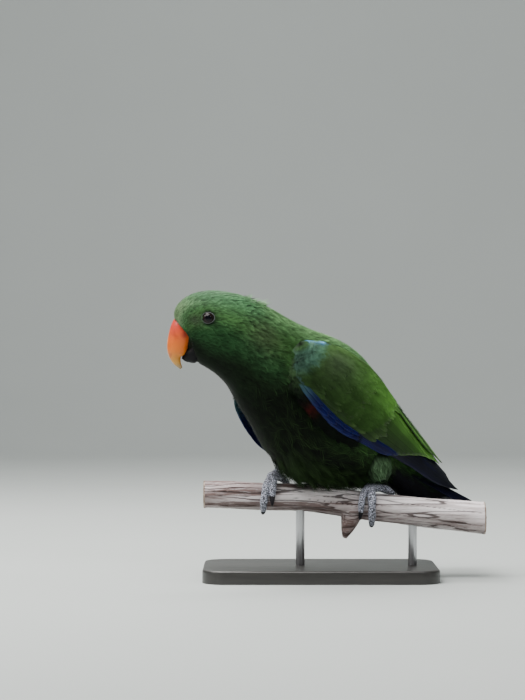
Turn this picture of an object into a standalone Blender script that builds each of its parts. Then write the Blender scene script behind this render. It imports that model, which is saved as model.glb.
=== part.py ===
# Male eclectus parrot leaning forward on a cut branch, which a plain stand holds up.
# Lengths are in millimetres until emit() scales each finished mesh to metres. The row frame has
# +X towards the tail as the viewer sees it, +Y away from the viewer and +Z up, and its origin is
# the middle of the stand's underside. The body faces -X and is turned a little towards the
# viewer, while the head looks straight along -X.

import math

import bmesh
import bpy
from mathutils import Matrix, Vector

# Driving dimensions
MM = 0.001
GAP = 0.3  # air between two solids that meet
BODY_YAW = math.radians(28)  # how far the body is turned towards the viewer
PIVOT_X = 10.9  # the point over the perch that the body is turned about
NECK_X = -85.0  # where the neck has half straightened out of the body's turn
NECK_BLEND = 12.0  # length over which it does so

EYE_RADIUS = 6.4
EYE_OPENING = 5.2  # radius of the opening between the lids
LID_HALF = 0.8  # half the width of the raised rim round it
LID_HEIGHT = 0.9

BASE_SIZE = (212.0, 132.0, 12.0)
BASE_CORNER = 22.0
ROD_RADIUS = 4.0
ROD_XS = (-18.0, 84.0)

# The silhouette of head, neck and torso, from the face to the vent: where the crown-and-back line
# and the throat-and-belly line are (x, z), half the width there, and how much narrower the back
# is than the belly
BODY_STATIONS = (
    ((-129.0, 228.0), (-119.0, 210.0), 8.0, 0.0),
    ((-131.4, 237.0), (-112.0, 197.5), 13.0, 0.0),
    ((-128.2, 247.2), (-106.5, 194.2), 16.8, 0.0),
    ((-118.2, 255.8), (-100.7, 190.8), 19.8, 0.0),
    ((-104.3, 260.0), (-92.8, 185.2), 21.6, 0.0),
    ((-88.3, 259.8), (-84.0, 176.4), 22.8, 0.0),
    ((-70.6, 256.0), (-77.2, 166.4), 24.5, 0.0),
    ((-51.0, 247.4), (-69.2, 154.0), 28.0, 0.05),
    ((-18.5, 230.0), (-57.0, 136.5), 34.0, 0.15),
    ((16.4, 216.6), (-43.0, 113.0), 37.5, 0.26),
    ((36.5, 202.5), (-19.0, 92.0), 37.5, 0.30),
    ((52.0, 181.0), (12.0, 86.6), 34.5, 0.30),
    ((60.5, 156.0), (38.5, 84.6), 27.0, 0.20),
    ((69.5, 129.0), (57.0, 88.0), 17.0, 0.10),
)
RING_SIDES = 24

# Upper mandible: culmen and cutting edge (x, z), half width, from inside the face to the tip
BILL_Y = -50.6
UPPER_STATIONS = (
    ((-126.5, 240.0), (-111.0, 219.0), 9.0),
    ((-131.4, 234.0), (-114.8, 217.6), 10.6),
    ((-134.6, 225.8), (-116.0, 214.6), 10.4),
    ((-136.8, 215.8), (-118.2, 209.8), 9.6),
    ((-137.0, 207.6), (-121.4, 205.0), 8.2),
    ((-135.0, 200.6), (-125.0, 200.6), 5.8),
    ((-131.4, 195.0), (-124.6, 196.0), 3.8),
    ((-126.6, 191.0), (-123.6, 192.4), 1.7),
)
LOWER_STATIONS = (
    ((-112.0, 216.0), (-104.0, 206.0), 7.6),
    ((-116.6, 211.0), (-107.6, 199.6), 8.2),
    ((-120.8, 206.6), (-112.4, 195.8), 7.2),
    ((-123.4, 202.0), (-118.4, 196.4), 4.4),
)

# Edges of the folded wing in the body's own frame (back along the body, out to the side, up),
# from the bend of the wing to the tip of the longest primary
WING_UPPER_EDGE = (
    (-33.0, 18.0, 214.5),
    (-16.0, 18.0, 213.0),
    (5.4, 15.0, 206.4),
    (35.1, 11.0, 188.5),
    (58.1, 8.0, 163.0),
    (78.7, 6.0, 141.0),
    (96.2, 4.5, 123.0),
    (109.9, 4.0, 106.5),
    (121.3, 5.0, 93.5),
    (130.9, 8.5, 80.5),
)
WING_LOWER_EDGE = (
    (-52.5, 33.0, 200.0),
    (-56.5, 39.0, 181.0),
    (-41.5, 43.0, 159.5),
    (-18.4, 43.5, 138.8),
    (3.4, 42.0, 127.8),
    (26.1, 37.5, 116.3),
    (49.1, 31.5, 106.0),
    (73.2, 27.0, 94.5),
    (99.8, 20.5, 83.5),
    (129.4, 12.0, 79.0),
)
# How far the far wing hangs back, out and up of where the near one does, at its bend, middle and tip
WING_DROOP = ((-16.5, 9.0, -18.0), (-24.0, 11.0, -18.0), (-2.0, 3.0, -4.0))

TAIL_ROOT = (64.0, 107.0)  # back and up, in the body's own frame
TAIL_TIP = (150.0, 66.0)
TAIL_WIDTH = 50.0
TAIL_TUCK = 3.0  # how far the tail feathers start inside the rump

# The perch's axis (x, y, z) and radius, left to right
PERCH_AXIS = (
    (-106.0, 2.0, 75.6, 13.4),
    (-74.0, 0.0, 75.2, 13.6),
    (-43.0, 0.0, 74.4, 13.4),
    (-12.0, 0.5, 73.0, 13.6),
    (20.0, 0.0, 69.0, 14.0),
    (46.0, 0.0, 64.6, 13.8),
    (78.0, -0.5, 61.6, 14.2),
    (112.0, -1.0, 58.2, 15.0),
    (150.0, -2.0, 54.2, 15.8),
)

# One toe: where it ends along the perch, how far round the perch it reaches in degrees (the
# viewer's side is positive), and the radius of its root
LEFT_FOOT = {
    "x": 46.5,
    "ankle": (52.0, 6.0, 93.5),
    "toes": {
        "inner_front": (36.5, 108.0, 3.5),
        "outer_front": (46.5, 148.0, 4.0),
        "outer_rear": (66.0, -52.0, 3.9),
        "inner_rear": (42.0, -88.0, 3.5),
    },
}
RIGHT_FOOT = {
    "x": -41.5,
    "ankle": (-34.0, 5.0, 101.5),
    "toes": {
        "inner_front": (-43.4, 88.0, 4.2),
        "outer_front": (-51.5, 136.0, 4.0),
        "inner_rear": (-30.0, -62.0, 3.8),
        "outer_rear": (-46.0, -92.0, 3.5),
    },
}
CLAW_SWEEP = 40.0  # degrees round the perch that a claw adds to its toe
PALM_SIZE = (7.0, 7.2, 4.3)
PALM_LIFT = 4.7
SHANK_RADIUS = 4.0

COLOURS = {
    "green_plumage": ((0.045, 0.16, 0.035, 1), 0.6, 0.0),
    "wing_plumage": ((0.075, 0.19, 0.02, 1), 0.5, 0.0),
    "tail_plumage": ((0.012, 0.014, 0.022, 1), 0.5, 0.0),
    "orange_bill": ((0.78, 0.22, 0.07, 1), 0.35, 0.0),
    "black_bill": ((0.02, 0.018, 0.02, 1), 0.35, 0.0),
    "eye": ((0.008, 0.005, 0.005, 1), 0.05, 0.0),
    "grey_skin": ((0.30, 0.30, 0.34, 1), 0.7, 0.0),
    "claw": ((0.02, 0.02, 0.025, 1), 0.35, 0.0),
    "ring_metal": ((0.75, 0.76, 0.78, 1), 0.3, 1.0),
    "bark": ((0.36, 0.28, 0.24, 1), 0.85, 0.0),
    "stand": ((0.03, 0.03, 0.03, 1), 0.45, 0.0),
    "stand_rod": ((0.5, 0.5, 0.52, 1), 0.3, 1.0),
}


def clear_scene():
    for obj in list(bpy.data.objects):
        bpy.data.objects.remove(obj, do_unlink=True)


# The Catmull-Rom curve through keys, tuples of numbers, at t from 0 to len(keys) - 1.
def smooth(keys, t):
    last = len(keys) - 1
    k = min(int(max(t, 0.0)), last - 1)
    f = min(max(t, 0.0), last) - k
    before = keys[max(k - 1, 0)]
    after = keys[min(k + 2, last)]
    found = []
    for a, b, c, d in zip(before, keys[k], keys[k + 1], after):
        found.append(
            b + 0.5 * f * (c - a + f * (2 * a - 5 * b + 4 * c - d + f * (3 * (b - c) + d - a)))
        )
    return found


# How far back the body's midplane is at x: turned along the torso, straight at the head.
def midline_y(x):
    def turned(at):
        return NECK_BLEND * math.log1p(math.exp((at - NECK_X) / NECK_BLEND))

    return math.tan(BODY_YAW) * (turned(x) - turned(PIVOT_X))


def midline_yaw(x):
    share = 1 / (1 + math.exp(-(x - NECK_X) / NECK_BLEND))
    return math.atan(math.tan(BODY_YAW) * share)


# A point of the body's own frame, with out positive to the bird's left, in the row frame.
def from_body(back, out, up):
    c, s = math.cos(BODY_YAW), math.sin(BODY_YAW)
    return Vector((PIVOT_X + back * c + out * s, back * s - out * c, up))


def as_object(name, bm):
    bmesh.ops.remove_doubles(bm, verts=bm.verts, dist=1e-5)
    bmesh.ops.recalc_face_normals(bm, faces=bm.faces)
    bmesh.ops.triangulate(bm, faces=[f for f in bm.faces if len(f.verts) > 4])
    mesh = bpy.data.meshes.new(name)
    bm.to_mesh(mesh)
    bm.free()
    obj = bpy.data.objects.new(name, mesh)
    bpy.context.scene.collection.objects.link(obj)
    return obj


# A closed solid through rings of equally many points, capped flat at both ends.
def loft(name, rings):
    bm = bmesh.new()
    loops = [[bm.verts.new(p) for p in ring] for ring in rings]
    for one, two in zip(loops, loops[1:]):
        for k in range(len(one)):
            j = (k + 1) % len(one)
            bm.faces.new((one[k], one[j], two[j], two[k]))
    bm.faces.new(loops[0][::-1])
    bm.faces.new(loops[-1])
    return as_object(name, bm)


# A ring about the line from bottom to top, as wide as half_width each way along side
def oval(top, bottom, half_width, side, count, grow=0.0, fullness=1.0, pinch=0.0):
    middle = (top + bottom) / 2
    rise = (top - bottom) / 2
    up = rise.normalized()
    height = rise.length + grow
    points = []
    for k in range(count):
        turn = 2 * math.pi * k / count
        c, s = math.cos(turn), math.sin(turn)
        wide = math.copysign(abs(c) ** fullness, c) * (half_width * (1 - pinch * s) + grow)
        points.append(middle + side * wide + up * (height * s))
    return points


# A tube along path, its rings turned as little as they can be.
def tube(name, path, radii, sides):
    path = [Vector(p) for p in path]
    rings = []
    across = None
    for k, point in enumerate(path):
        ahead = (path[min(k + 1, len(path) - 1)] - path[max(k - 1, 0)]).normalized()
        if across is None:
            across = ahead.orthogonal().normalized()
        across = (across - ahead * across.dot(ahead)).normalized()
        other = ahead.cross(across)
        rings.append(
            [
                point
                + (across * math.cos(2 * math.pi * j / sides) + other * math.sin(2 * math.pi * j / sides))
                * radii[k]
                for j in range(sides)
            ]
        )
    return loft(name, rings)


def ball(name, centre, radii, segments, rings, turn=None):
    bm = bmesh.new()
    bmesh.ops.create_uvsphere(bm, u_segments=segments, v_segments=rings, radius=1.0)
    placed = Matrix.Translation(Vector(centre)) @ (turn or Matrix.Identity(4))
    bmesh.ops.transform(bm, matrix=placed @ Matrix.Diagonal((*radii, 1.0)), verts=bm.verts)
    return as_object(name, bm)


def apply_modifiers(obj):
    graph = bpy.context.evaluated_depsgraph_get()
    mesh = bpy.data.meshes.new_from_object(obj.evaluated_get(graph))
    obj.modifiers.clear()
    obj.data = mesh


# Drops every closed surface but the largest, such as a scrap or a sealed hollow.
def keep_largest(obj):
    bm = bmesh.new()
    bm.from_mesh(obj.data)
    left = set(bm.verts)
    shells = []
    while left:
        todo = [left.pop()]
        shell = set(todo)
        while todo:
            for edge in todo.pop().link_edges:
                for vert in edge.verts:
                    if vert in left:
                        left.discard(vert)
                        shell.add(vert)
                        todo.append(vert)
        shells.append(shell)
    shells.sort(key=len, reverse=True)
    for shell in shells[1:]:
        bmesh.ops.delete(bm, geom=list(shell), context="VERTS")
    bm.to_mesh(obj.data)
    bm.free()


# One Boolean of obj with all the others, which are used up.
def combine(obj, others, operation, solver="EXACT"):
    group = bpy.data.collections.new(obj.name + "_pieces")
    for other in others:
        group.objects.link(other)
    modifier = obj.modifiers.new("combine", "BOOLEAN")
    modifier.operation = operation
    modifier.operand_type = "COLLECTION"
    modifier.collection = group
    modifier.solver = solver
    apply_modifiers(obj)
    for other in others:
        bpy.data.objects.remove(other, do_unlink=True)
    bpy.data.collections.remove(group)
    keep_largest(obj)
    return obj


def cut(obj, *cutters, solver="EXACT"):
    for cutter in cutters:
        modifier = obj.modifiers.new("cut", "BOOLEAN")
        modifier.operation = "DIFFERENCE"
        modifier.object = cutter
        modifier.solver = solver
    apply_modifiers(obj)
    keep_largest(obj)
    return obj


def drop(*objects):
    for obj in objects:
        bpy.data.objects.remove(obj, do_unlink=True)


def material(name):
    found = bpy.data.materials.get(name)
    if found:
        return found
    colour, roughness, metallic = COLOURS[name]
    made = bpy.data.materials.new(name)
    made.use_nodes = True
    shader = made.node_tree.nodes["Principled BSDF"]
    shader.inputs["Base Color"].default_value = colour
    shader.inputs["Roughness"].default_value = roughness
    shader.inputs["Metallic"].default_value = metallic
    return made


# Scales a finished piece to metres, and gives it its material and shading.
def emit(obj, finish, smooth_angle=40):
    obj.data.transform(Matrix.Scale(MM, 4))
    obj.data.materials.clear()
    obj.data.materials.append(material(finish))
    obj.data.shade_smooth()
    obj.data.set_sharp_from_angle(angle=math.radians(smooth_angle))
    return obj


# Head, neck and torso
# The body's cross-section at station t, moved along the body by shift.
def body_ring(t, grow=0.0, shift=0.0):
    flat = [(*top, *bottom, half, pinch) for top, bottom, half, pinch in BODY_STATIONS]
    top_x, top_z, low_x, low_z, half, pinch = smooth(flat, t)
    top = Vector((top_x, midline_y(top_x), top_z))
    bottom = Vector((low_x, midline_y(low_x), low_z))
    yaw = midline_yaw((top_x + low_x) / 2)
    side = Vector((math.sin(yaw), -math.cos(yaw), 0))
    ahead = (top - bottom).cross(side).normalized()
    ring = oval(top, bottom, half, side, RING_SIDES, grow, 0.92, pinch)
    return [p + ahead * shift for p in ring]


# The pieces of the body, each from one station to another in so many steps
HEAD_SPAN = (0.0, 5.6, 14)
NECK_SPAN = (5.6, 7.6, 6)
TORSO_SPAN = (7.6, 13.0, 14)


# One length of the body, its ends half a gap short of the stations that part it
def body_piece(name, span):
    start, end, count = span
    rings = []
    for k in range(count + 1):
        shift = 0.0
        if k == 0 and start > 0:
            shift = GAP / 2
        if k == count and end < len(BODY_STATIONS) - 1:
            shift = -GAP / 2
        rings.append(body_ring(start + (end - start) * k / count, 0.0, shift))
    return loft(name, rings)


# The whole body a little larger all round, which parts it from the pieces that grow out of it
def body_cutter():
    rings = []
    for start, end, count in (HEAD_SPAN, NECK_SPAN, TORSO_SPAN):
        for k in range(count + (end == len(BODY_STATIONS) - 1)):
            rings.append(body_ring(start + (end - start) * k / count, GAP * 1.3))
    return loft("body_cutter", rings)


def bill_piece(name, stations, count, grow=0.0, sides=16):
    flat = [(*top, *bottom, half) for top, bottom, half in stations]
    side = Vector((0, -1, 0))
    rings = []
    for k in range(count + 1):
        top_x, top_z, low_x, low_z, half = smooth(flat, (len(flat) - 1) * k / count)
        top = Vector((top_x, BILL_Y, top_z))
        bottom = Vector((low_x, BILL_Y, low_z))
        rings.append(oval(top, bottom, half, side, sides, grow, 0.85))
    return loft(name, rings)


def upper_mandible(name, grow=0.0):
    return bill_piece(name, UPPER_STATIONS, 12, grow)


def lower_mandible(name, grow=0.0):
    return bill_piece(name, LOWER_STATIONS, 6, grow)


# Where the middle of an eye's opening is on the head, and how deep the ball's middle lies
EYE_AT = (-99.9, 235.2)
EYE_OUT = 20.2
EYE_SINK = 3.9


# Middle of the eyeball, side being +1 for the bird's left.
def eye_centre(side):
    return Vector((EYE_AT[0], BILL_Y + 1.0 - side * (EYE_OUT - EYE_SINK), EYE_AT[1]))


# The raised rim of the lids, a ring that lies on the side of the head.
def lid_ring(side):
    outward = Vector((-0.10, -side, 0.10)).normalized()
    along = Vector((1, 0, 0))
    along = (along - outward * along.dot(outward)).normalized()
    other = outward.cross(along)
    centre = eye_centre(side) + outward * (EYE_SINK - 0.2)
    bm = bmesh.new()
    sides, turns = 6, 16
    for j in range(turns):
        turn = 2 * math.pi * j / turns
        spoke = along * math.cos(turn) + other * (math.sin(turn) * 0.9)
        loop = []
        for k in range(sides):
            lean = 2 * math.pi * k / sides
            reach = EYE_OPENING + LID_HALF * (1 + math.cos(lean))
            loop.append(bm.verts.new(centre + spoke * reach + outward * (LID_HEIGHT * math.sin(lean))))
    verts = list(bm.verts)
    for j in range(turns):
        for k in range(sides):
            a = j * sides + k
            b = j * sides + (k + 1) % sides
            c = ((j + 1) % turns) * sides + (k + 1) % sides
            d = ((j + 1) % turns) * sides + k
            bm.faces.new((verts[a], verts[b], verts[c], verts[d]))
    return as_object("lids", bm)


def make_head():
    head = body_piece("head", HEAD_SPAN)
    combine(head, [lid_ring(1), lid_ring(-1)], "UNION")
    cutters = [upper_mandible("upper_cutter", GAP), lower_mandible("lower_cutter", GAP)]
    for side in (1, -1):
        reach = EYE_RADIUS + GAP
        cutters.append(ball("socket", eye_centre(side), (reach, reach, reach), 16, 10))
    cut(head, *cutters)
    drop(*cutters)
    emit(head, "green_plumage")
    for side, name in ((1, "eye_left"), (-1, "eye_right")):
        emit(ball(name, eye_centre(side), (EYE_RADIUS,) * 3, 16, 10), "eye", 80)


def make_bill():
    lower = lower_mandible("bill_lower")
    room = upper_mandible("upper_cutter", GAP)
    cut(lower, room)
    drop(room)
    emit(lower, "black_bill")
    emit(upper_mandible("bill_upper"), "orange_bill")


def make_neck():
    emit(body_piece("neck", NECK_SPAN), "green_plumage")


# The belly comes down to the perch between the feet, so they are cut out of it
def make_torso():
    torso = body_piece("torso", TORSO_SPAN)
    room = [foot_solid(foot, "foot_cutter", GAP) for foot in (LEFT_FOOT, RIGHT_FOOT)]
    room += [ring_room(), perch_solid("perch_cutter", GAP)]
    cut(torso, *room)
    drop(*room)
    emit(torso, "green_plumage")


# Wings
WING_STATIONS = len(WING_UPPER_EDGE) - 1
CORE_REACH = 0.64  # share of the wing's length that has flesh and bone under the feathers
VANE_REACH = 4.2  # how far feathers lie above or below the wing's outer face


# A point height above the folded wing's outer face; u runs from bend to tip, v edge to edge.
def wing_shell(side, u, v, height=0.0):
    def face(at_u, at_v):
        inside = min(max(at_u, 0.0), 1.0)
        if inside != at_u:
            near = face(inside, at_v)
            back_step = 0.02 if at_u > 1 else -0.02
            return near + (near - face(inside - back_step, at_v)) * ((at_u - inside) / back_step)
        upper = smooth(WING_UPPER_EDGE, at_u * WING_STATIONS)
        lower = smooth(WING_LOWER_EDGE, at_u * WING_STATIONS)
        round_share = 1.0 - 0.75 * max(0.0, at_u - 0.45) / 0.55
        turn = at_v * math.pi / 2
        out = round_share * math.sin(turn) + (1 - round_share) * at_v
        down = round_share * (1 - math.cos(turn)) + (1 - round_share) * at_v
        back, wide, high = (
            upper[k] + (lower[k] - upper[k]) * share for k, share in ((0, down), (1, out), (2, down))
        )
        if side < 0:
            shift = smooth(WING_DROOP, at_u * (len(WING_DROOP) - 1))
            back, wide, high = back + shift[0], wide + shift[1], high + shift[2]
        return from_body(back, side * wide, high)

    step = 0.01
    along = face(u + step, v) - face(u - step, v)
    across = face(u, v + step) - face(u, v - step)
    outward = along.cross(across).normalized() * -side
    return face(u, v) + outward * height


def wing_plate(side, us, vs, top, depth):
    bm = bmesh.new()
    outer = [[bm.verts.new(wing_shell(side, u, v, top(u, v))) for v in vs] for u in us]
    inner = [[bm.verts.new(wing_shell(side, u, v, -depth(u, v))) for v in vs] for u in us]
    rows, columns = len(us) - 1, len(vs) - 1
    for sheet in (outer, inner):
        for j in range(rows):
            for k in range(columns):
                bm.faces.new((sheet[j][k], sheet[j][k + 1], sheet[j + 1][k + 1], sheet[j + 1][k]))
    for j in range(rows):
        for k in (0, columns):
            bm.faces.new((outer[j][k], outer[j + 1][k], inner[j + 1][k], inner[j][k]))
    for k in range(columns):
        for j in (0, rows):
            bm.faces.new((outer[j][k], outer[j][k + 1], inner[j][k + 1], inner[j][k]))
    bmesh.ops.triangulate(bm, faces=bm.faces)
    return as_object("wing_plate", bm)


# How deep the arm reaches under the outer face: thick at the shoulder, nothing under the tips
def arm_depth(u, v):
    taper = max(0.0, 1 - (u / CORE_REACH) ** 2)
    return 3.0 + 9.0 * taper * (0.35 + 0.65 * math.sin(math.pi * v))


def arm_top(u, v):
    edge = min(1.0, 5 * u, 3 * (1 - abs(2 * v - 1)))
    return 0.6 * edge - 0.5


# The arm under its coverts
def wing_core(side, rows=9, columns=6):
    us = [CORE_REACH * j / rows for j in range(rows + 1)]
    vs = [k / columns for k in range(columns + 1)]
    return wing_plate(side, us, vs, arm_top, arm_depth)


# Space for the whole wing with its feathers, which is taken out of the leg beneath it
def wing_room(side, rows=14, columns=8):
    us = [-0.02 + 1.05 * j / rows for j in range(rows + 1)]
    vs = [-0.02 + 1.05 * k / columns for k in range(columns + 1)]
    reach = VANE_REACH + 1.5 * GAP
    return wing_plate(
        side, us, vs, lambda u, v: reach + 2.0, lambda u, v: max(arm_depth(u, v), VANE_REACH) + 1.5 * GAP
    )


# A feather as a thin curved plate. place(t, w, h) gives a point t along it, w across it from -1
# to 1, and h above its lower face.
def vane(place, length_steps, thickness):
    bm = bmesh.new()
    faces = {}
    for level, height in ((0, 0.0), (1, thickness)):
        rows = []
        for t in length_steps:
            thin = height * (1 - 0.35 * t)
            rows.append([bm.verts.new(place(t, w, thin)) for w in (-1, 0, 1)])
        faces[level] = rows
    for level, rows in faces.items():
        for one, two in zip(rows, rows[1:]):
            for k in range(2):
                bm.faces.new((one[k], one[k + 1], two[k + 1]))
                bm.faces.new((one[k], two[k + 1], two[k]))
    low, high = faces[0], faces[1]
    rim = [(j, 0) for j in range(len(length_steps))]
    rim += [(len(length_steps) - 1, 1)]
    rim += [(j, 2) for j in reversed(range(len(length_steps)))]
    rim += [(0, 1)]
    for one, two in zip(rim, rim[1:] + rim[:1]):
        a, b = low[one[0]][one[1]], low[two[0]][two[1]]
        c, d = high[two[0]][two[1]], high[one[0]][one[1]]
        bm.faces.new((a, b, c))
        bm.faces.new((a, c, d))
    return as_object("vane", bm)


# How wide a feather is t along it, as a share: narrow root, parallel sides, rounded tip.
def blade_width(t):
    if t < 0.3:
        return 0.62 + 0.38 * t / 0.3
    if t < 0.72:
        return 1.0
    return math.sqrt(max(0.0, 1 - ((t - 0.72) / 0.285) ** 2))


LONG_STEPS = (0.0, 0.4, 0.78, 0.985)
SHORT_STEPS = (0.0, 0.45, 0.82, 0.98)


# A feather of the wing from root to tip, both (u, v), lying heights above the shell.
def wing_vane(side, root, tip, half_width, heights, steps, roll=0.6, thickness=0.65):
    edge = 0.004

    def place(t, w, h):
        u = root[0] + (tip[0] - root[0]) * t
        v = root[1] + (tip[1] - root[1]) * t
        here = wing_shell(side, u, v)
        along = (wing_shell(side, u + (tip[0] - root[0]) * edge, v + (tip[1] - root[1]) * edge) - here)
        to_u = (wing_shell(side, u + edge, v) - here) / edge
        to_v = (wing_shell(side, u, v + edge) - here) / edge
        outward = to_u.cross(to_v).normalized()
        across = outward.cross(along).normalized()
        if across.dot(to_v) < 0:
            across = -across
        reach = across * (half_width * blade_width(t) * w)
        uu, uv, vv = to_u.dot(to_u), to_u.dot(to_v), to_v.dot(to_v)
        ru, rv = reach.dot(to_u), reach.dot(to_v)
        det = uu * vv - uv * uv
        du = (ru * vv - rv * uv) / det
        dv = (rv * uu - ru * uv) / det
        level = heights[0] + (heights[1] - heights[0]) * t + roll * w * min(1.0, 3 * t)
        return wing_shell(side, u + du, v + dv, level + h)

    return vane(place, steps, thickness)


def spread(count, first, last):
    return [first + (last - first) * k / (count - 1) for k in range(count)]


# Tiers of coverts from the greater ones up to the marginal ones: how far along the wing their
# roots and tips lie, how many there are, and half their width
COVERT_TIERS = (
    (0.235, 0.53, 5, 8.8),
    (0.13, 0.375, 5, 8.6),
    (0.03, 0.235, 5, 8.0),
)


def wing_feathers(side):
    made = []

    def add(root, tip, half_width, heights, steps=SHORT_STEPS):
        made.append(wing_vane(side, root, tip, half_width, heights, steps))

    # primaries, the outermost longest and lowest
    for k, v in enumerate(spread(5, 0.42, 0.93)):
        share = k / 4
        tip = (0.90 + 0.095 * share**0.7, 0.01 + 0.61 * share)
        add((0.48 - 0.06 * share, v), tip, 6.2, (-3.4, -2.6), LONG_STEPS)
    # secondaries
    for k, v in enumerate(spread(5, 0.28, 0.90)):
        share = k / 4
        tip = (0.765 - 0.15 * share, 0.20 + 0.66 * share)
        add((0.38, v), tip, 7.8, (-1.6, 0.1), LONG_STEPS)
    # tertials along the back
    for k, v in enumerate(spread(2, 0.07, 0.19)):
        add((0.32, v), (0.82 - 0.03 * k, 0.06 + 0.12 * k), 6.8, (-1.2, 1.7 - 0.3 * k), LONG_STEPS)
    for root_u, tip_u, count, half in COVERT_TIERS:
        for v in spread(count, 0.10, 0.83):
            add((root_u, v), (tip_u, v), half, (-2.0, 2.0))
    # primary coverts and the thumb feathers on the lower edge
    for root_u, tip_u in ((0.13, 0.34), (0.25, 0.46), (0.35, 0.57)):
        add((root_u, 0.95), (tip_u, 0.97), 3.8, (-1.6, 1.2))
    return made


def make_wing(side, name):
    wing = wing_core(side)
    wing.name = name
    combine(wing, wing_feathers(side), "UNION")
    room = [body_cutter(), tail_core(TAIL_CORE_REACH, grow=GAP)]
    cut(wing, *room)
    drop(*room)
    emit(wing, "wing_plumage")


# Tail
# Root of the tail, and the directions along, across and out of its upper face
def tail_frame():
    root = from_body(TAIL_ROOT[0], 0, TAIL_ROOT[1])
    tip = from_body(TAIL_TIP[0], 0, TAIL_TIP[1])
    along = (tip - root).normalized()
    across = (from_body(0, 1, 0) - from_body(0, 0, 0)).normalized()
    above = across.cross(along).normalized()
    if above.z < 0:
        above = -above
    return root, tip, along, across, above


# One tail feather, offset to the side and height below the middle pair.
def tail_vane(offset, length, height, half_width, side):
    root, tip, along, across, above = tail_frame()

    def place(t, w, h):
        out = offset * (0.15 + 0.85 * t * t) + half_width * blade_width(t) * w
        tent = -abs(out) ** 1.5 * 0.055
        lean = -0.85 * side * w
        return root + along * (length * t - TAIL_TUCK) + across * out + above * (height + tent + lean + h)

    return vane(place, LONG_STEPS, 0.75)


# The rump and the coverts round the roots of the tail: back and up of the upper line, back and up
# of the lower one, and half the width
TAIL_STATIONS = (
    (67.8, 127.0, 53.9, 88.2, 15.0),
    (80.0, 111.5, 66.5, 80.5, 13.0),
    (97.0, 97.5, 84.0, 73.5, 10.0),
    (115.0, 84.5, 103.0, 68.5, 9.0),
    (131.0, 75.5, 124.0, 66.0, 11.0),
    (143.0, 69.6, 140.0, 65.6, 9.0),
)


TAIL_CORE_REACH = 4.0


def tail_core(reach, count=8, sides=14, grow=0.0):
    rings = []
    across = from_body(0, 1, 0) - from_body(0, 0, 0)
    for k in range(count + 1):
        up_back, up_z, low_back, low_z, half = smooth(TAIL_STATIONS, reach * k / count)
        top, bottom = from_body(up_back, 0, up_z), from_body(low_back, 0, low_z)
        rings.append(oval(top, bottom, half, across, sides, grow, 0.8))
    return loft("tail", rings)


def make_tail():
    tail = tail_core(TAIL_CORE_REACH)
    root, tip, along, across, above = tail_frame()
    full = (tip - root).length + TAIL_TUCK
    made = []
    for k in range(5):
        share = (k + 1) / 5
        for side in (1, -1):
            offset = side * share * (TAIL_WIDTH / 2 - 9.0)
            made.append(tail_vane(offset, full * (1 - 0.10 * share**2), -1.15 * (k + 1), 9.0, side))
    made.append(tail_vane(0.0, full, 0.2, 9.5, 0))
    combine(tail, made, "UNION")
    emit(tail, "tail_plumage")


# Legs and feet
# Centre and radius of the perch at x.
def perch_at(x):
    for one, two in zip(PERCH_AXIS, PERCH_AXIS[1:]):
        if one[0] <= x <= two[0]:
            t = PERCH_AXIS.index(one) + (x - one[0]) / (two[0] - one[0])
            found = smooth(PERCH_AXIS, t)
            return Vector((x, found[1], found[2])), found[3]
    raise ValueError(x)


# A point clear of the perch's bark, degrees round from its top towards the viewer.
def round_perch(x, degrees, clear):
    centre, radius = perch_at(x)
    turn = math.radians(degrees)
    return centre + Vector((0, -math.sin(turn), math.cos(turn))) * (radius + clear)


# The middle of a toe, from the ball of the foot over the perch and round it.
def toe_path(foot, end_x, sweep, radius, steps):
    path = []
    for k in range(steps + 1):
        t = k / steps
        splay = 1 - (1 - t) ** 2.2
        x = foot["x"] + (end_x - foot["x"]) * splay
        thick = radius * (1.08 - 0.30 * t)
        path.append(round_perch(x, sweep * t, thick + GAP * 1.5))
    return path


def toe_steps(sweep):
    return 9 if abs(sweep) > 100 else 7


# The toes, the ball of the foot and the short shank above it, in one solid
def foot_solid(foot, name, grow=0.0):
    pieces = []
    for end_x, sweep, radius in foot["toes"].values():
        steps = toe_steps(sweep)
        path = toe_path(foot, end_x, sweep, radius, steps)
        radii = []
        for k in range(steps + 1):
            t = k / steps
            pad = 0.07 * math.sin(3 * 2 * math.pi * t)
            radii.append(radius * (1.05 - 0.30 * t) * (1 + pad) + grow)
        pieces.append(tube("toe", path, radii, 8))
    ankle = Vector(foot["ankle"])
    palm = round_perch(foot["x"], 0, PALM_LIFT)
    radii = [SHANK_RADIUS + 0.6 + grow, SHANK_RADIUS + grow, SHANK_RADIUS + grow]
    solid = tube(name, [palm, palm.lerp(ankle, 0.5), ankle + (ankle - palm).normalized() * grow], radii, 10)
    size = [half + grow for half in PALM_SIZE]
    pieces.append(ball("palm", palm + Vector((0, 0, 0.4)), size, 12, 8))
    return combine(solid, pieces, "UNION")


def make_foot(foot, name):
    emit(foot_solid(foot, name), "grey_skin")
    for label, (end_x, sweep, radius) in foot["toes"].items():
        path = toe_path(foot, end_x, sweep, radius, toe_steps(sweep))
        claw(foot, name.replace("foot", "claw") + "_" + label, end_x, sweep, radius, path)


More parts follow.
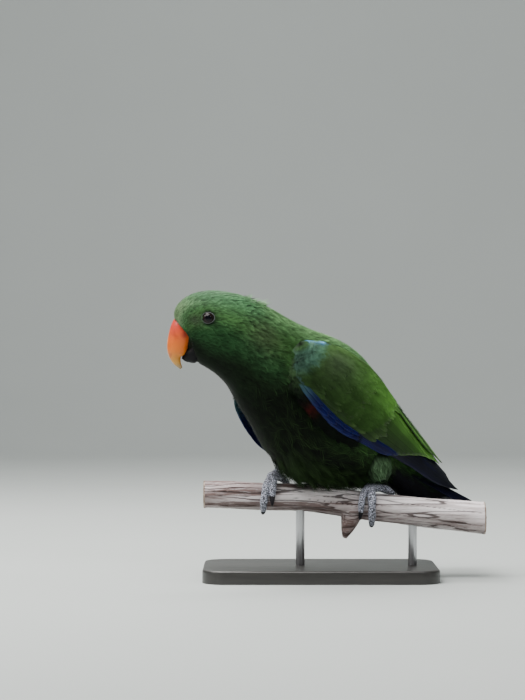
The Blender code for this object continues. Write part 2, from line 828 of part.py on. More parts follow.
# A claw that goes on round the perch from the end of its toe, and hooks towards the bark.
def claw(foot, name, end_x, sweep, radius, path):
    end = path[-1]
    ahead = (path[-1] - path[-2]).normalized()
    start = end + ahead * GAP
    tip_sweep = sweep + math.copysign(CLAW_SWEEP, sweep)
    tip_x = end_x + (end_x - foot["x"]) * 0.10
    tip = round_perch(tip_x, tip_sweep, 1.0)
    middle = round_perch((end_x + tip_x) / 2, (sweep + tip_sweep) / 2, radius * 0.95 + 0.9)
    points = []
    radii = []
    steps = 6
    for k in range(steps + 1):
        t = k / steps
        bend = start.lerp(middle, t).lerp(middle.lerp(tip, t), t)
        points.append(bend)
        radii.append(radius * 0.56 * (1 - t) ** 0.8 + 0.28)
    points[0] = start
    points[1] = start + ahead * (points[1] - start).length
    emit(tube(name, points, radii, 8), "claw")


# The feathered leg, from inside the flank down over the top of the foot
def make_thigh(name, foot, side, hip, cuff, radii):
    hip, cuff = Vector(hip), Vector(cuff)
    path, sizes = [], []
    steps = 9
    for k in range(steps + 1):
        t = k / steps
        path.append(hip.lerp(cuff, t))
        taper = math.sqrt(max(0.0, 1 - (max(0.0, t - 0.62) / 0.42) ** 2))
        sizes.append((radii[0] + (radii[1] - radii[0]) * t) * taper)
    thigh = tube(name, path, sizes, 16)
    room = [body_cutter(), foot_solid(foot, "foot_cutter", GAP), perch_solid("perch_cutter", GAP)]
    room += [wing_room(side), tail_core(TAIL_CORE_REACH, grow=GAP)]
    if foot is RIGHT_FOOT:
        room.append(ring_room())
    cut(thigh, *room)
    drop(*room)
    emit(thigh, "green_plumage")


RING_INNER = SHANK_RADIUS + 0.35
RING_OUTER = SHANK_RADIUS + 1.05
RING_HALF = 1.4


# Middle of the leg ring and the direction of the shank through it
def ring_seat():
    palm = round_perch(RIGHT_FOOT["x"], 0, PALM_LIFT)
    ankle = Vector(RIGHT_FOOT["ankle"])
    return palm.lerp(ankle, 0.72), (ankle - palm).normalized()


def ring_room():
    centre, along = ring_seat()
    reach = along * (RING_HALF + GAP)
    radius = RING_OUTER + 1.5 * GAP
    return tube("ring_room", [centre - reach, centre + reach], [radius, radius], 20)


# A plain closed ring round the right ankle
def make_leg_ring():
    centre, along = ring_seat()
    across = along.orthogonal().normalized()
    other = along.cross(across)
    turns = 24
    profile = (
        (RING_INNER, -RING_HALF),
        (RING_OUTER, -RING_HALF),
        (RING_OUTER, RING_HALF),
        (RING_INNER, RING_HALF),
    )
    bm = bmesh.new()
    loops = []
    for j in range(turns):
        turn = 2 * math.pi * j / turns
        spoke = across * math.cos(turn) + other * math.sin(turn)
        loops.append([bm.verts.new(centre + spoke * r + along * h) for r, h in profile])
    for j in range(turns):
        one, two = loops[j], loops[(j + 1) % turns]
        for k in range(4):
            bm.faces.new((one[k], one[(k + 1) % 4], two[(k + 1) % 4], two[k]))
    emit(as_object("leg_ring", bm), "ring_metal")


# Perch and stand
# The cut branch: a bent, slightly lumpy cylinder with the stub of a side twig below.
def perch_solid(name, grow=0.0, sides=18):
    rings = []
    count = 26
    first, last = PERCH_AXIS[0][0], PERCH_AXIS[-1][0]
    for j in range(count + 1):
        x = first + (last - first) * j / count
        centre, radius = perch_at(x)
        ring = []
        for k in range(sides):
            turn = 2 * math.pi * k / sides
            lump = 0.35 * math.sin(3 * turn + x * 0.05) + 0.30 * math.sin(5 * turn - x * 0.083)
            lump -= 0.65
            spoke = Vector((0, math.sin(turn), math.cos(turn)))
            ring.append(centre + spoke * (radius + lump + grow))
        rings.append(ring)
    branch = loft(name, rings)
    stub_root = Vector((30.0, -3.0, 62.0))
    stub_tip = Vector((22.0, -4.0, 36.5))
    path = [stub_root.lerp(stub_tip, t) for t in (0.0, 0.45, 0.75, 1.0)]
    stub = tube("stub", path, [10.5 + grow, 8.0 + grow, 5.2 + grow, 2.0 + grow], 9)
    return combine(branch, [stub], "UNION")


def make_perch():
    emit(perch_solid("perch"), "bark")


def make_stand():
    length, width, thick = BASE_SIZE
    corners = []
    for cx, cy, start in ((1, 1, 0), (-1, 1, 90), (-1, -1, 180), (1, -1, 270)):
        for k in range(5):
            turn = math.radians(start + 22.5 * k)
            x = cx * (length / 2 - BASE_CORNER) + BASE_CORNER * math.cos(turn)
            y = cy * (width / 2 - BASE_CORNER) + BASE_CORNER * math.sin(turn)
            corners.append((x, y))
    levels = ((0.0, 0.0), (0.0, thick - 2.0), (2.0, thick))
    loops = []
    for inset, z in levels:
        share_x, share_y = 1 - 2 * inset / length, 1 - 2 * inset / width
        loops.append([Vector((x * share_x, y * share_y, z)) for x, y in corners])
    emit(loft("stand_base", loops), "stand", 30)
    room = perch_solid("perch_cutter", GAP)
    for x, name in zip(ROD_XS, ("stand_rod_left", "stand_rod_right")):
        centre, radius = perch_at(x)
        path = [Vector((x, centre.y, thick + GAP)), Vector((x, centre.y, centre.z))]
        rod = tube(name, path, [ROD_RADIUS, ROD_RADIUS], 16)
        cut(rod, room)
        emit(rod, "stand_rod", 30)
    drop(room)


def main():
    clear_scene()
    make_head()
    make_bill()
    make_neck()
    make_torso()
    make_wing(1, "wing_left")
    make_wing(-1, "wing_right")
    make_tail()
    make_thigh("thigh_left", LEFT_FOOT, 1, (40.0, -15.0, 132.0), (57.0, -3.0, 90.0), (17.5, 12.0))
    make_thigh("thigh_right", RIGHT_FOOT, -1, (-10.0, 16.0, 124.0), (-34.0, 7.0, 97.0), (16.0, 10.0))
    make_foot(LEFT_FOOT, "foot_left")
    make_foot(RIGHT_FOOT, "foot_right")
    make_leg_ring()
    make_perch()
    make_stand()


main()
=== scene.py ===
import math

import bmesh
import bpy
import numpy as np
from mathutils import Matrix, Vector, noise
from mathutils.bvhtree import BVHTree


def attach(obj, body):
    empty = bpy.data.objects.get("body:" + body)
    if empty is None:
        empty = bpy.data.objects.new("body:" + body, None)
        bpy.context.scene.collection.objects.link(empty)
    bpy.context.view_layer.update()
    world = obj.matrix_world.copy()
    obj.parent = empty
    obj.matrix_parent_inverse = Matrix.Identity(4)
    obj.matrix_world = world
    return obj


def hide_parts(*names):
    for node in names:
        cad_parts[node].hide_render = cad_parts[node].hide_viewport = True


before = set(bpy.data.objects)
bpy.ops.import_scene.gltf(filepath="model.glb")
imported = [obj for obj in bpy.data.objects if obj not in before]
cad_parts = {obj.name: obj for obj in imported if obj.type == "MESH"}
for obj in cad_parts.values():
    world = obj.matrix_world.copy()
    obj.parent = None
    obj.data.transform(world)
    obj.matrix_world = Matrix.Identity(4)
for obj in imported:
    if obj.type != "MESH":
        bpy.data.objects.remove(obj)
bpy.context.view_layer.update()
scene = bpy.context.scene


def addObject(name, data):
    made = bpy.data.objects.new(name, data)
    scene.collection.objects.link(made)
    return made


# Camera
cameraSet = {"place": (-0.0523, -2.2, 0.2073), "lens": 2420 / 700 * 36, "sensor": 36}


def makeCamera():
    data = bpy.data.cameras.new("camera")
    data.sensor_width = cameraSet["sensor"]
    data.sensor_fit = "AUTO"
    data.lens = cameraSet["lens"]
    data.clip_start, data.clip_end = 0.1, 50
    made = addObject("camera", data)
    made.location = cameraSet["place"]
    made.rotation_euler = (math.pi / 2, 0, 0)
    scene.camera = made


makeCamera()


# Shader maths written as plain expressions
class Wire:
    def __init__(self, net, out):
        self.net, self.out = net, out

    def maths(self, kind, other=None, flip=False):
        pair = [self] if other is None else [other, self] if flip else [self, other]
        return self.net.node("ShaderNodeMath", {"operation": kind}, dict(enumerate(pair)))

    def __add__(self, other):
        return self.maths("ADD", other)

    def __sub__(self, other):
        return self.maths("SUBTRACT", other)

    def __rsub__(self, other):
        return self.maths("SUBTRACT", other, True)

    def __mul__(self, other):
        return self.maths("MULTIPLY", other)

    def __truediv__(self, other):
        return self.maths("DIVIDE", other)

    def __rtruediv__(self, other):
        return self.maths("DIVIDE", other, True)

    def __pow__(self, other):
        return self.maths("POWER", other)

    __radd__ = __add__
    __rmul__ = __mul__

    def size(self):
        return self.maths("ABSOLUTE")

    def wave(self):
        return self.maths("SINE")

    # 0 below low and 1 above high, with a soft step between
    def step(self, low, high):
        return self.net.node(
            "ShaderNodeMapRange", {"interpolation_type": "SMOOTHSTEP"}, {0: self, 1: low, 2: high}
        )


class Net:
    def __init__(self, name, **constants):
        self.material = bpy.data.materials.new(name)
        self.material.use_nodes = True
        self.tree = self.material.node_tree
        self.shader = self.tree.nodes["Principled BSDF"]
        for key, value in constants.items():
            self.shader.inputs[key.replace("_", " ")].default_value = value

    def join(self, entry, value):
        if isinstance(value, Wire):
            self.tree.links.new(value.out, entry)
        elif isinstance(value, (tuple, list)) and entry.type == "RGBA":
            entry.default_value = (*value[:3], 1)
        else:
            entry.default_value = value

    def node(self, kind, settings=None, values=None, output=0):
        made = self.tree.nodes.new(kind)
        for key, value in (settings or {}).items():
            setattr(made, key, value)
        for key, value in (values or {}).items():
            self.join(made.inputs[key], value)
        return Wire(self, made.outputs[output])

    def set(self, name, value):
        self.join(self.shader.inputs[name], value)

    def mix(self, share, one, two):
        return self.node("ShaderNodeMix", {"data_type": "RGBA"}, {0: share, 6: one, 7: two}, 2)

    # A colour with others laid over it, each by its own share
    def layers(self, colour, *rows):
        for share, tint in rows:
            colour = self.mix(share, colour, tint)
        return colour
    # A colour made brighter or darker by a number
    def shade(self, colour, level):
        return self.node("ShaderNodeVectorMath", {"operation": "SCALE"}, {0: colour, 3: level})

    def attribute(self, name, output=2):
        return self.node("ShaderNodeAttribute", {"attribute_name": name}, output=output)

    def place(self):
        return self.node("ShaderNodeTexCoord", output=3)

    def axis(self, vector, k):
        return self.node("ShaderNodeSeparateXYZ", None, {0: vector}, k)

    def stretch(self, vector, scale):
        return self.node("ShaderNodeVectorMath", {"operation": "MULTIPLY"}, {0: vector, 1: scale})

    def grain(self, vector, scale, detail=3, rough=0.5):
        return self.node("ShaderNodeTexNoise", None, {0: vector, 2: scale, 3: detail, 4: rough})

    def cells(self, vector, scale, feature="F1"):
        return self.node("ShaderNodeTexVoronoi", {"feature": feature}, {0: vector, 2: scale})

    def bump(self, height, strength, distance):
        values = {"Height": height, "Strength": strength, "Distance": distance}
        self.set("Normal", self.node("ShaderNodeBump", None, values))


# Curves and surfaces, on arrays of numbers
def smoothKeys(keys, t):
    # a smooth curve through the rows of keys, straight on past both ends
    keys = np.asarray(keys, float)
    t = np.asarray(t, float)
    last = len(keys) - 1
    inside = np.clip(t, 0, last)
    k = np.minimum(inside.astype(int), last - 1)
    f = (inside - k)[..., None]
    a, b, c, d = keys[np.maximum(k - 1, 0)], keys[k], keys[k + 1], keys[np.minimum(k + 2, last)]
    found = b + 0.5 * f * (c - a + f * (2 * a - 5 * b + 4 * c - d + f * (3 * (b - c) + d - a)))
    over = (t - inside)[..., None]
    return found + np.where(over > 0, over * (keys[-1] - keys[-2]), over * (keys[1] - keys[0]))


def unit(v):
    return v / np.maximum(np.linalg.norm(v, axis=-1, keepdims=True), 1e-9)


def soft(x, low, high):
    f = np.clip((np.asarray(x, float) - low) / (high - low), 0, 1)
    return f * f * (3 - 2 * f)


def mixed(one, two, share):
    return np.asarray(one) + (np.asarray(two) - np.asarray(one)) * np.asarray(share)[..., None]


# The body is turned by bodyYaw about pivotX, and the head is straight: the turn fades out at neckX
bodyYaw = math.radians(28)
pivotX, neckX, neckBlend, billY = 10.9, -85, 12, -50.6


def midY(x):
    turned = neckBlend * np.logaddexp(0, (x - neckX) / neckBlend)
    return math.tan(bodyYaw) * (turned - neckBlend * math.log1p(math.exp((pivotX - neckX) / neckBlend)))


def yawAt(x):
    return np.arctan(math.tan(bodyYaw) / (1 + np.exp(-(x - neckX) / neckBlend)))


def fromBody(back, out, up):
    c, s = math.cos(bodyYaw), math.sin(bodyYaw)
    back, out, up = np.broadcast_arrays(back, out, up)
    return np.stack([pivotX + back * c + out * s, back * s - out * c, up], -1)


leftward = fromBody(0, 1, 0) - fromBody(0, 0, 0)
sides = ((1, "Left"), (-1, "Right"))


# Stations of the body: back line x and z, belly line x and z, half width, pinch of the back
bodyKeys = (
    (-129, 228, -119, 210, 8, 0),
    (-131.4, 237, -112, 197.5, 13, 0),
    (-128.2, 247.2, -106.5, 194.2, 16.8, 0),
    (-118.2, 255.8, -100.7, 190.8, 19.8, 0),
    (-104.3, 260, -92.8, 185.2, 21.6, 0),
    (-88.3, 259.8, -84, 176.4, 22.8, 0),
    (-70.6, 256, -77.2, 166.4, 24.5, 0),
    (-51, 247.4, -69.2, 154, 28, 0.05),
    (-18.5, 230, -57, 136.5, 34, 0.15),
    (16.4, 216.6, -43, 113, 37.5, 0.26),
    (36.5, 202.5, -19, 92, 37.5, 0.30),
    (52, 181, 12, 86.6, 34.5, 0.30),
    (60.5, 156, 38.5, 84.6, 27, 0.20),
    (69.5, 129, 57, 88, 17, 0.10),
)
# Stations of the rump and tail root: back and up above, back and up below, half width
rumpKeys = (
    (67.8, 127, 53.9, 88.2, 15),
    (80, 111.5, 66.5, 80.5, 13),
    (97, 97.5, 84, 73.5, 10),
    (115, 84.5, 103, 68.5, 9),
    (131, 75.5, 124, 66, 11),
)


def ovalPoint(top, low, half, side, turn, grow, fullness, pinch=0):
    middle, rise = (top + low) / 2, (top - low) / 2
    tall = np.linalg.norm(rise, axis=-1, keepdims=True)
    c, s = np.cos(turn), np.sin(turn)
    wide = np.sign(c) * np.abs(c) ** fullness * (np.maximum(half, 1) * (1 - pinch * s) + grow)
    return middle + side * wide[..., None] + rise / tall * ((tall[..., 0] + grow) * s)[..., None]


# A point of the body's surface: t from face to vent, turn round it from the bird's left over the back
def bodySurface(t, turn, grow=0):
    t, turn, grow = np.broadcast_arrays(t, turn, grow)
    topX, topZ, lowX, lowZ, half, pinch = np.moveaxis(smoothKeys(bodyKeys, t), -1, 0)
    yaw = yawAt((topX + lowX) / 2)
    side = np.stack([np.sin(yaw), -np.cos(yaw), 0 * yaw], -1)
    top = np.stack([topX, midY(topX), topZ], -1)
    low = np.stack([lowX, midY(lowX), lowZ], -1)
    return ovalPoint(top, low, half, side, turn, grow, 0.92, pinch)


def rumpSurface(t, turn, grow=0):
    t, turn, grow = np.broadcast_arrays(t, turn, grow)
    upBack, upZ, lowBack, lowZ, half = np.moveaxis(smoothKeys(rumpKeys, t), -1, 0)
    return ovalPoint(fromBody(upBack, 0, upZ), fromBody(lowBack, 0, lowZ), half, leftward, turn, grow, 0.8)


# A thigh's surface, t from 0 at the hip to 9 at the cuff; turn 0 faces the bird's left
def thighSurface(hip, cuff, radii):
    t = np.linspace(0, 1, 10)
    path = np.array(hip) + (np.array(cuff) - np.array(hip)) * t[:, None]
    taper = np.sqrt(np.maximum(0.02, 1 - (np.maximum(0, t - 0.62) / 0.42) ** 2))
    thick = (radii[0] + (radii[1] - radii[0]) * t) * taper
    ahead = unit(np.gradient(path, axis=0))
    across = unit(leftward - ahead * (ahead @ leftward)[:, None])
    rows = np.concatenate([path, across, np.cross(across, ahead), thick[:, None]], 1)

    def surface(t, turn, grow=0):
        t, turn, grow = np.broadcast_arrays(t, turn, grow)
        row = smoothKeys(rows, t)
        spoke = row[..., 3:6] * np.cos(turn)[..., None] + row[..., 6:9] * np.sin(turn)[..., None]
        return row[..., :3] + spoke * np.maximum(row[..., 9] + grow, 0.2)[..., None]

    return surface


thighs = {
    "Left": thighSurface((44, 2, 128), (55, -10, 88), (13.5, 14.5)),
    "Right": thighSurface((-10, 16, 124), (-34, 7, 97), (14, 10.5)),
}


# Making objects
def finishPiece(name, mesh, material, slot, nodes=(), smoothAngle=None):
    made = addObject(name, mesh)
    mesh.materials.append(material)
    mesh.shade_smooth()
    if smoothAngle:
        mesh.set_sharp_from_angle(angle=math.radians(smoothAngle))
    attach(made, "root")
    if nodes:
        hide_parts(*nodes)
    return made


def meshOf(bm, name):
    mesh = bpy.data.meshes.new(name)
    bm.to_mesh(mesh)
    bm.free()
    return mesh


def fromBmesh(bm, name, material, slot, nodes=(), smoothAngle=None):
    bmesh.ops.recalc_face_normals(bm, faces=bm.faces)
    bmesh.ops.transform(bm, matrix=Matrix.Scale(0.001, 4), verts=bm.verts)
    return finishPiece(name, meshOf(bm, name), material, slot, nodes, smoothAngle)


# Wraps a grid on place(u, turn), u from 0 to 1 and turn once round; welds its seam, closes its ends
def wrap(bm, rows, columns, place, closed=True):
    made = bmesh.ops.create_grid(bm, x_segments=columns, y_segments=rows, size=1)["verts"]
    flat = np.array([v.co[:2] for v in made]) / 2 + 0.5
    for vert, point in zip(made, place(flat[:, 1], flat[:, 0] * 2 * math.pi)):
        vert.co = point
    bmesh.ops.remove_doubles(bm, verts=made, dist=1e-3)
    if closed:
        edges = {e for v in made if v.is_valid for e in v.link_edges if e.is_boundary}
        bmesh.ops.holes_fill(bm, edges=list(edges), sides=0)


def wrapSurface(bm, surface, start, end, rows, columns, grow=0):
    wrap(bm, rows, columns, lambda u, turn: surface(start + (end - start) * u, turn, grow))


def wrapTube(bm, path, radii, sides):
    ahead = unit(np.gradient(path, axis=0))
    across = [unit(np.cross(ahead[0], (0.31, 0.87, 0.2)))]  # any start off the tube's line
    for step in ahead[1:]:
        across.append(unit(across[-1] - step * (across[-1] @ step)))
    across = np.array(across)
    other = np.cross(ahead, across)

    def place(u, turn):
        k = np.round(u * (len(path) - 1)).astype(int)
        spoke = across[k] * np.cos(turn)[:, None] + other[k] * np.sin(turn)[:, None]
        return path[k] + spoke * radii[k][:, None]

    wrap(bm, len(path) - 1, sides, place)


def remeshed(bm, voxel, rounds=2):
    # one closed skin over everything in bm
    bmesh.ops.recalc_face_normals(bm, faces=bm.faces)
    draft = addObject("draft", meshOf(bm, "draft"))
    modifier = draft.modifiers.new("remesh", "REMESH")
    modifier.mode = "VOXEL"
    modifier.voxel_size = voxel
    whole = bpy.data.meshes.new_from_object(draft.evaluated_get(bpy.context.evaluated_depsgraph_get()))
    bpy.data.objects.remove(draft, do_unlink=True)
    made = bmesh.new()
    made.from_mesh(whole)
    everyWay = {"use_axis_x": True, "use_axis_y": True, "use_axis_z": True}
    for _ in range(rounds):
        bmesh.ops.smooth_vert(made, verts=made.verts, factor=0.5, **everyWay)
    return made


def addValues(mesh, key, value):
    # a number or a colour at each point of the mesh
    if value.ndim == 2:
        value = np.concatenate([value, np.ones((len(value), 1))], 1)
        layer, entry = mesh.attributes.new(key, "FLOAT_COLOR", "POINT"), "color"
    else:
        layer, entry = mesh.attributes.new(key, "FLOAT", "POINT"), "value"
    layer.data.foreach_set(entry, value.astype(np.float32).ravel())


def fromArrays(name, points, faces, values, patch, material, slot, nodes=()):
    # faces is a list of index arrays of one width each; values holds what varies from point to point
    mesh = bpy.data.meshes.new(name)
    corners = np.concatenate([f.ravel() for f in faces]).astype(np.int32)
    sizes = np.concatenate([np.full(len(f), f.shape[1]) for f in faces])
    mesh.vertices.add(len(points))
    mesh.vertices.foreach_set("co", (points * 0.001).astype(np.float32).ravel())
    mesh.loops.add(len(corners))
    mesh.loops.foreach_set("vertex_index", corners)
    mesh.polygons.add(len(sizes))
    starts = np.concatenate([[0], np.cumsum(sizes)[:-1]]).astype(np.int32)
    mesh.polygons.foreach_set("loop_start", starts)
    mesh.update(calc_edges=True)
    for key, value in values.items():
        addValues(mesh, key, value)
    layer = mesh.uv_layers.new(name="OFBake")
    layer.data.foreach_set("uv", patch[corners].astype(np.float32).ravel())
    finishPiece(name, mesh, material, slot, nodes)
    print(name, int((sizes - 2).sum()), "triangles")


# Markings, shared by the skin and the coat, with painted light on the back, crown and forehead and painted
# shade down to near-black on the throat and belly
greens = {
    # crown and forehead partly lightened by painted light on the top and front of the head
    "crown": (0.112, 0.30, 0.125),
    "forehead": (0.27, 0.42, 0.21),
    "face": (0.080, 0.205, 0.060),
    # cheek and throat darkened by painted shade, the throat near-black
    "cheek": (0.026, 0.085, 0.028),
    "throat": (0.006, 0.015, 0.005),
    "neck": (0.050, 0.115, 0.040),
    # back lightened by painted light, side darkened and belly near-black by painted shade
    "back": (0.162, 0.345, 0.132),
    "side": (0.032, 0.092, 0.020),
    "belly": (0.0018, 0.0046, 0.0015),
    "lores": (0.070, 0.085, 0.058),
    "taupe": (0.080, 0.10, 0.055),
    "red": (0.075, 0.006, 0.005),
}
lineSteps = np.linspace(0, 13, 60)
lineKeys = smoothKeys(bodyKeys, lineSteps)


def bodyPaint(points, *where):
    # the plumage's colour at points of the body, the same on the left and right, painted lighter over the
    # top and darker to near-black underneath, as light from above falls
    x, z = points[:, 0], points[:, 2]
    yaw = yawAt(x)
    x = x + (points[:, 1] - midY(x)) * np.sin(yaw) * np.cos(yaw)
    far = []
    for columns in ((0, 1), (2, 3)):  # the back's line, then the belly's
        line = lineKeys[:, columns]
        gap = (x[:, None] - line[None, :, 0]) ** 2 + (z[:, None] - line[None, :, 1]) ** 2
        far.append((np.sqrt(gap.min(1)), lineSteps[gap.argmin(1)]))
    share = far[0][0] / (far[0][0] + far[1][0] + 1e-6)
    t = far[0][1] * (1 - share) + far[1][1] * share
    # painted light on the back, painted shade down the side to the near-black belly
    body = mixed(greens["side"], greens["back"], 1 - soft(share, 0.05, 0.30))
    behind = soft(t, 7, 9)
    body = mixed(body, greens["belly"], soft(share, 0.40 + 0.12 * behind, 0.72 + 0.10 * behind))
    lores = np.exp(-(((x + 115) / 6) ** 2) - ((z - 233) / 5) ** 2)
    face = greens["face"]
    for key, on in (
        ("crown", 1 - soft(share, 0.08, 0.40)),
        ("cheek", soft(share, 0.34, 0.58)),
        ("throat", soft(share, 0.60, 0.84)),
        ("forehead", (1 - soft(t, 1.2, 3.4)) * (1 - soft(share, 0.08, 0.30))),
        ("lores", 0.8 * lores),
    ):
        face = mixed(face, greens[key], on)
    collar = np.exp(-(((x + 66) / 12) ** 2) - ((z - 224) / 16) ** 2)
    return mixed(mixed(body, face, 1 - soft(t, 5, 7.2)), greens["taupe"], 0.55 * collar)


# Coat of small fans of barbs
rng = np.random.default_rng(41)


def fanTemplate(blades, rows, width):
    # along and across of every point of one fan, as shares of its length and half width, its barb's
    # place from -1 to 1, and the faces
    steps = np.linspace(0, 1, rows + 1) ** 0.8
    spread = np.linspace(-1, 1, blades)
    width = np.interp(np.linspace(0, 1, rows), (0, 0.5, 1), width) / blades
    along, across, rim = [], [], []
    for b in spread:
        reach = 1 - 0.24 * b * b
        for k, s in enumerate(steps):
            lean = b * (0.30 + 0.70 * s**0.8)
            for edge in ((-1, 1) if k < rows else (0,)):
                along.append(s * reach)
                across.append(lean + edge * (width[k] if k < rows else 0))
                rim.append(b)
    count = 2 * rows + 1
    quads, tris = [], []
    for b in range(blades):
        base = b * count
        for k in range(rows - 1):
            quads.append([base + 2 * k, base + 2 * k + 1, base + 2 * k + 3, base + 2 * k + 2])
        tris.append([base + 2 * rows - 2, base + 2 * rows - 1, base + 2 * rows])
    return [np.array(found) for found in (along, across, rim, quads, tris)]


def metric(surface, t, turn):
    # how far the surface's point moves for a step in t and in turn
    step = 0.02
    toT = (surface(t + step, turn) - surface(t - step, turn)) / (2 * step)
    toA = (surface(t, turn + step) - surface(t, turn - step)) / (2 * step)
    return toT, toA


def inParameters(toT, toA, vector):
    # the steps in t and turn that move by vector, as far as it lies in the surface
    tt, ta, aa = (toT * toT).sum(-1), (toT * toA).sum(-1), (toA * toA).sum(-1)
    vt, va = (vector * toT).sum(-1), (vector * toA).sum(-1)
    det = np.maximum(tt * aa - ta * ta, 1e-6)
    return (vt * aa - va * ta) / det, (va * tt - vt * ta) / det


def streaks(t, turn, fine, run, shift=0):
    # slow noise over the roots, long along the lie of the coat and narrow across it
    spots = np.stack([np.cos(turn) * fine, np.sin(turn) * fine, t * run + shift], -1)
    return np.array([noise.noise(Vector(spot)) + 0.5 * noise.noise(Vector(spot * 2.3)) for spot in spots])


fanDefaults = {
    "width": (0.9, 1.1, 0.7),  # of a barb at its root, middle and tip
    "vary": (0.09, 0.08),  # of length and width, from fan to fan
    "ruffle": 0.07,  # of length, from barb to barb
    "fray": 0.10,  # of place and height, from barb to barb
    "streak": (12, 2),  # how fine the clumps are, round the body and along it
    "calm": 0,  # share of the clumps that is taken away
    "swing": 0.10,  # turn of a fan by chance, in radians
    "part": 0.25,  # turn of a fan by clumps
    "curl": 0.12,
    "lift": 0.4,  # height of the tips
    "raise": 0,  # height of the whole fan
    "tone": (0.42, 0.14),  # light and dark by clumps and by chance
}


def valueAt(setting, *place):
    # a setting is a number, or a function of the place on the coat
    return setting(*place) if callable(setting) else setting


def layFans(name, surface, roots, options, material, slot, paint, patchRoom, lean=None):
    # roots is t and turn of each fan; options is one of the coat's settings, in millimetres
    options = {**fanDefaults, **options}
    t, turn = roots[:, 0], roots[:, 1]
    count, blades = len(t), options["blades"]
    along, across, rim, quads, tris = fanTemplate(blades, options["rows"], options["width"])

    def amount(key):
        return valueAt(options[key], t, turn) + 0 * t

    length = amount("length") * rng.normal(1, options["vary"][0], count)
    half = amount("half") * rng.normal(1, options["vary"][1], count)
    depth = amount("depth")
    toT, toA = metric(surface, t, turn)
    ahead = unit(toT)
    home = surface(t, turn)
    if lean is not None:
        ahead = unit(ahead + lean(home, ahead))
    outward = unit(np.cross(toA, toT))
    sideways = unit(np.cross(outward, ahead))
    fine, run = options["streak"]
    clump = np.clip(1.5 * streaks(t, turn, fine, run), -1, 1) * (1 - amount("calm"))
    part = streaks(t, turn, fine * 0.7, run * 1.3, 40)
    swing = rng.normal(0, options["swing"], count) + options["part"] * part
    c, s = np.cos(swing)[:, None], np.sin(swing)[:, None]
    ahead, sideways = ahead * c + sideways * s, sideways * c - ahead * s
    at, aa = inParameters(toT, toA, ahead)
    st, sa = inParameters(toT, toA, sideways)
    size = len(along)
    blade = np.repeat(np.arange(blades), size // blades)
    ruffle = rng.normal(0, 1, (count, blades))[:, blade]
    fray = options["fray"] * ruffle * along
    alongMm = length[:, None] * along * (1 + options["ruffle"] * ruffle)
    curl = options["curl"] * rng.normal(0, 1, (count, 1))
    acrossMm = half[:, None] * (across + fray) + length[:, None] * curl * along**2
    lift = options["lift"] * (rng.uniform(0.3, 1.2, (count, 1)) + 0.8 * clump[:, None])
    level = -depth[:, None] * (1 - along**0.8) - 0.3 * depth[:, None] * rim**2 * along + lift * along**1.6
    points = surface(
        t[:, None] + at[:, None] * alongMm + st[:, None] * acrossMm,
        turn[:, None] + aa[:, None] * alongMm + sa[:, None] * acrossMm,
        level + options["raise"] + fray * lift,
    )
    if "droop" in options:
        points[..., 2] -= amount("droop")[:, None] * along**1.5 * rng.uniform(0.3, 1, (count, 1))
    base = (np.arange(count) * size)[:, None, None]
    faces = [(base + quads).reshape(-1, 4), (base + tris).reshape(-1, 3)]
    patch = np.stack([turn / (2 * math.pi) % 1, (t - patchRoom[0]) / (patchRoom[1] - patchRoom[0])], -1)
    patch = patch[:, None, :] + 0.003 * np.stack([across * 0.5, along - 0.5], -1)
    toneClump, toneVary = options["tone"]
    tone = toneClump * clump + rng.normal(0, toneVary, count)
    values = {
        "tint": np.repeat(paint(home, t, turn), size, 0),
        "along": np.tile(along, count),
        "tone": np.clip(0.5 + np.repeat(tone, size) + toneVary * ruffle.reshape(-1), 0, 1),
    }
    fromArrays(name, points.reshape(-1, 3), faces, values, patch.reshape(-1, 2), material, slot)


def scatter(surface, start, end, rowGap, gap, keep=None):
    # rows of roots across the lie of the coat, each row set off from the last
    rows, t, odd = [], start, 0
    ringTurns, farTurns, step = np.linspace(0, 2 * math.pi, 97), np.linspace(0, 6.2, 24), 0.05
    while t < end:
        ring = surface(np.full(97, t), ringTurns)
        arc = np.concatenate([[0], np.cumsum(np.linalg.norm(np.diff(ring, axis=0), axis=1))])
        number = max(6, int(arc[-1] / valueAt(gap, t)))
        at = (np.arange(number) + odd + rng.uniform(-0.3, 0.3, number)) / number * arc[-1] % arc[-1]
        turn = np.interp(at, arc, ringTurns)
        far = np.linalg.norm(surface(t + step, farTurns) - surface(t, farTurns), axis=1).max() / step
        stepT = valueAt(rowGap, t) / far
        rows.append(np.stack([t + rng.uniform(-0.35, 0.35, number) * stepT, turn], -1))
        t += stepT
        odd = (odd + 0.5) % 1
    roots = np.concatenate(rows)
    return roots if keep is None else roots[keep(roots, surface(roots[:, 0], roots[:, 1]))]


def treeOf(*nodes):
    # the CAD solids of these nodes, for tests of what they cover
    points, faces = [], []
    for name in nodes:
        mesh = bpy.data.objects[name].data
        base = len(points)
        points += [v.co * 1000 for v in mesh.vertices]
        faces += [[base + k for k in p.vertices] for p in mesh.polygons]
    return BVHTree.FromPolygons(points, faces)


# Materials of feathers
def featherMaterial(name, roughness, dark, light, contrast):
    net = Net(name, Specular_IOR_Level=0.10)
    tint, along, tone = net.attribute("tint", 0), net.attribute("along"), net.attribute("tone")
    # each fan painted darker at its root, a painted shade where it lies under its neighbours, and lighter
    # to its tip
    level = (dark + (light - dark) * along**2.6) * (1 - contrast + 2 * contrast * tone)
    broad = net.grain(net.place(), 55, 3)
    colour = net.shade(tint, level * (0.62 + 0.76 * broad))
    tipHighlight = net.mix(along.step(0.8, 1) * tone.step(0.45, 0.95) * 0.26, colour, (0.24, 0.38, 0.17))
    # pale tips with a painted highlight, shown in full on light plumage and little on the belly's painted
    # shade
    net.set("Base Color", net.mix(net.axis(tint, 1).step(0.02, 0.12), colour, tipHighlight))
    net.set("Roughness", roughness + 0.16 * broad)
    return net.material


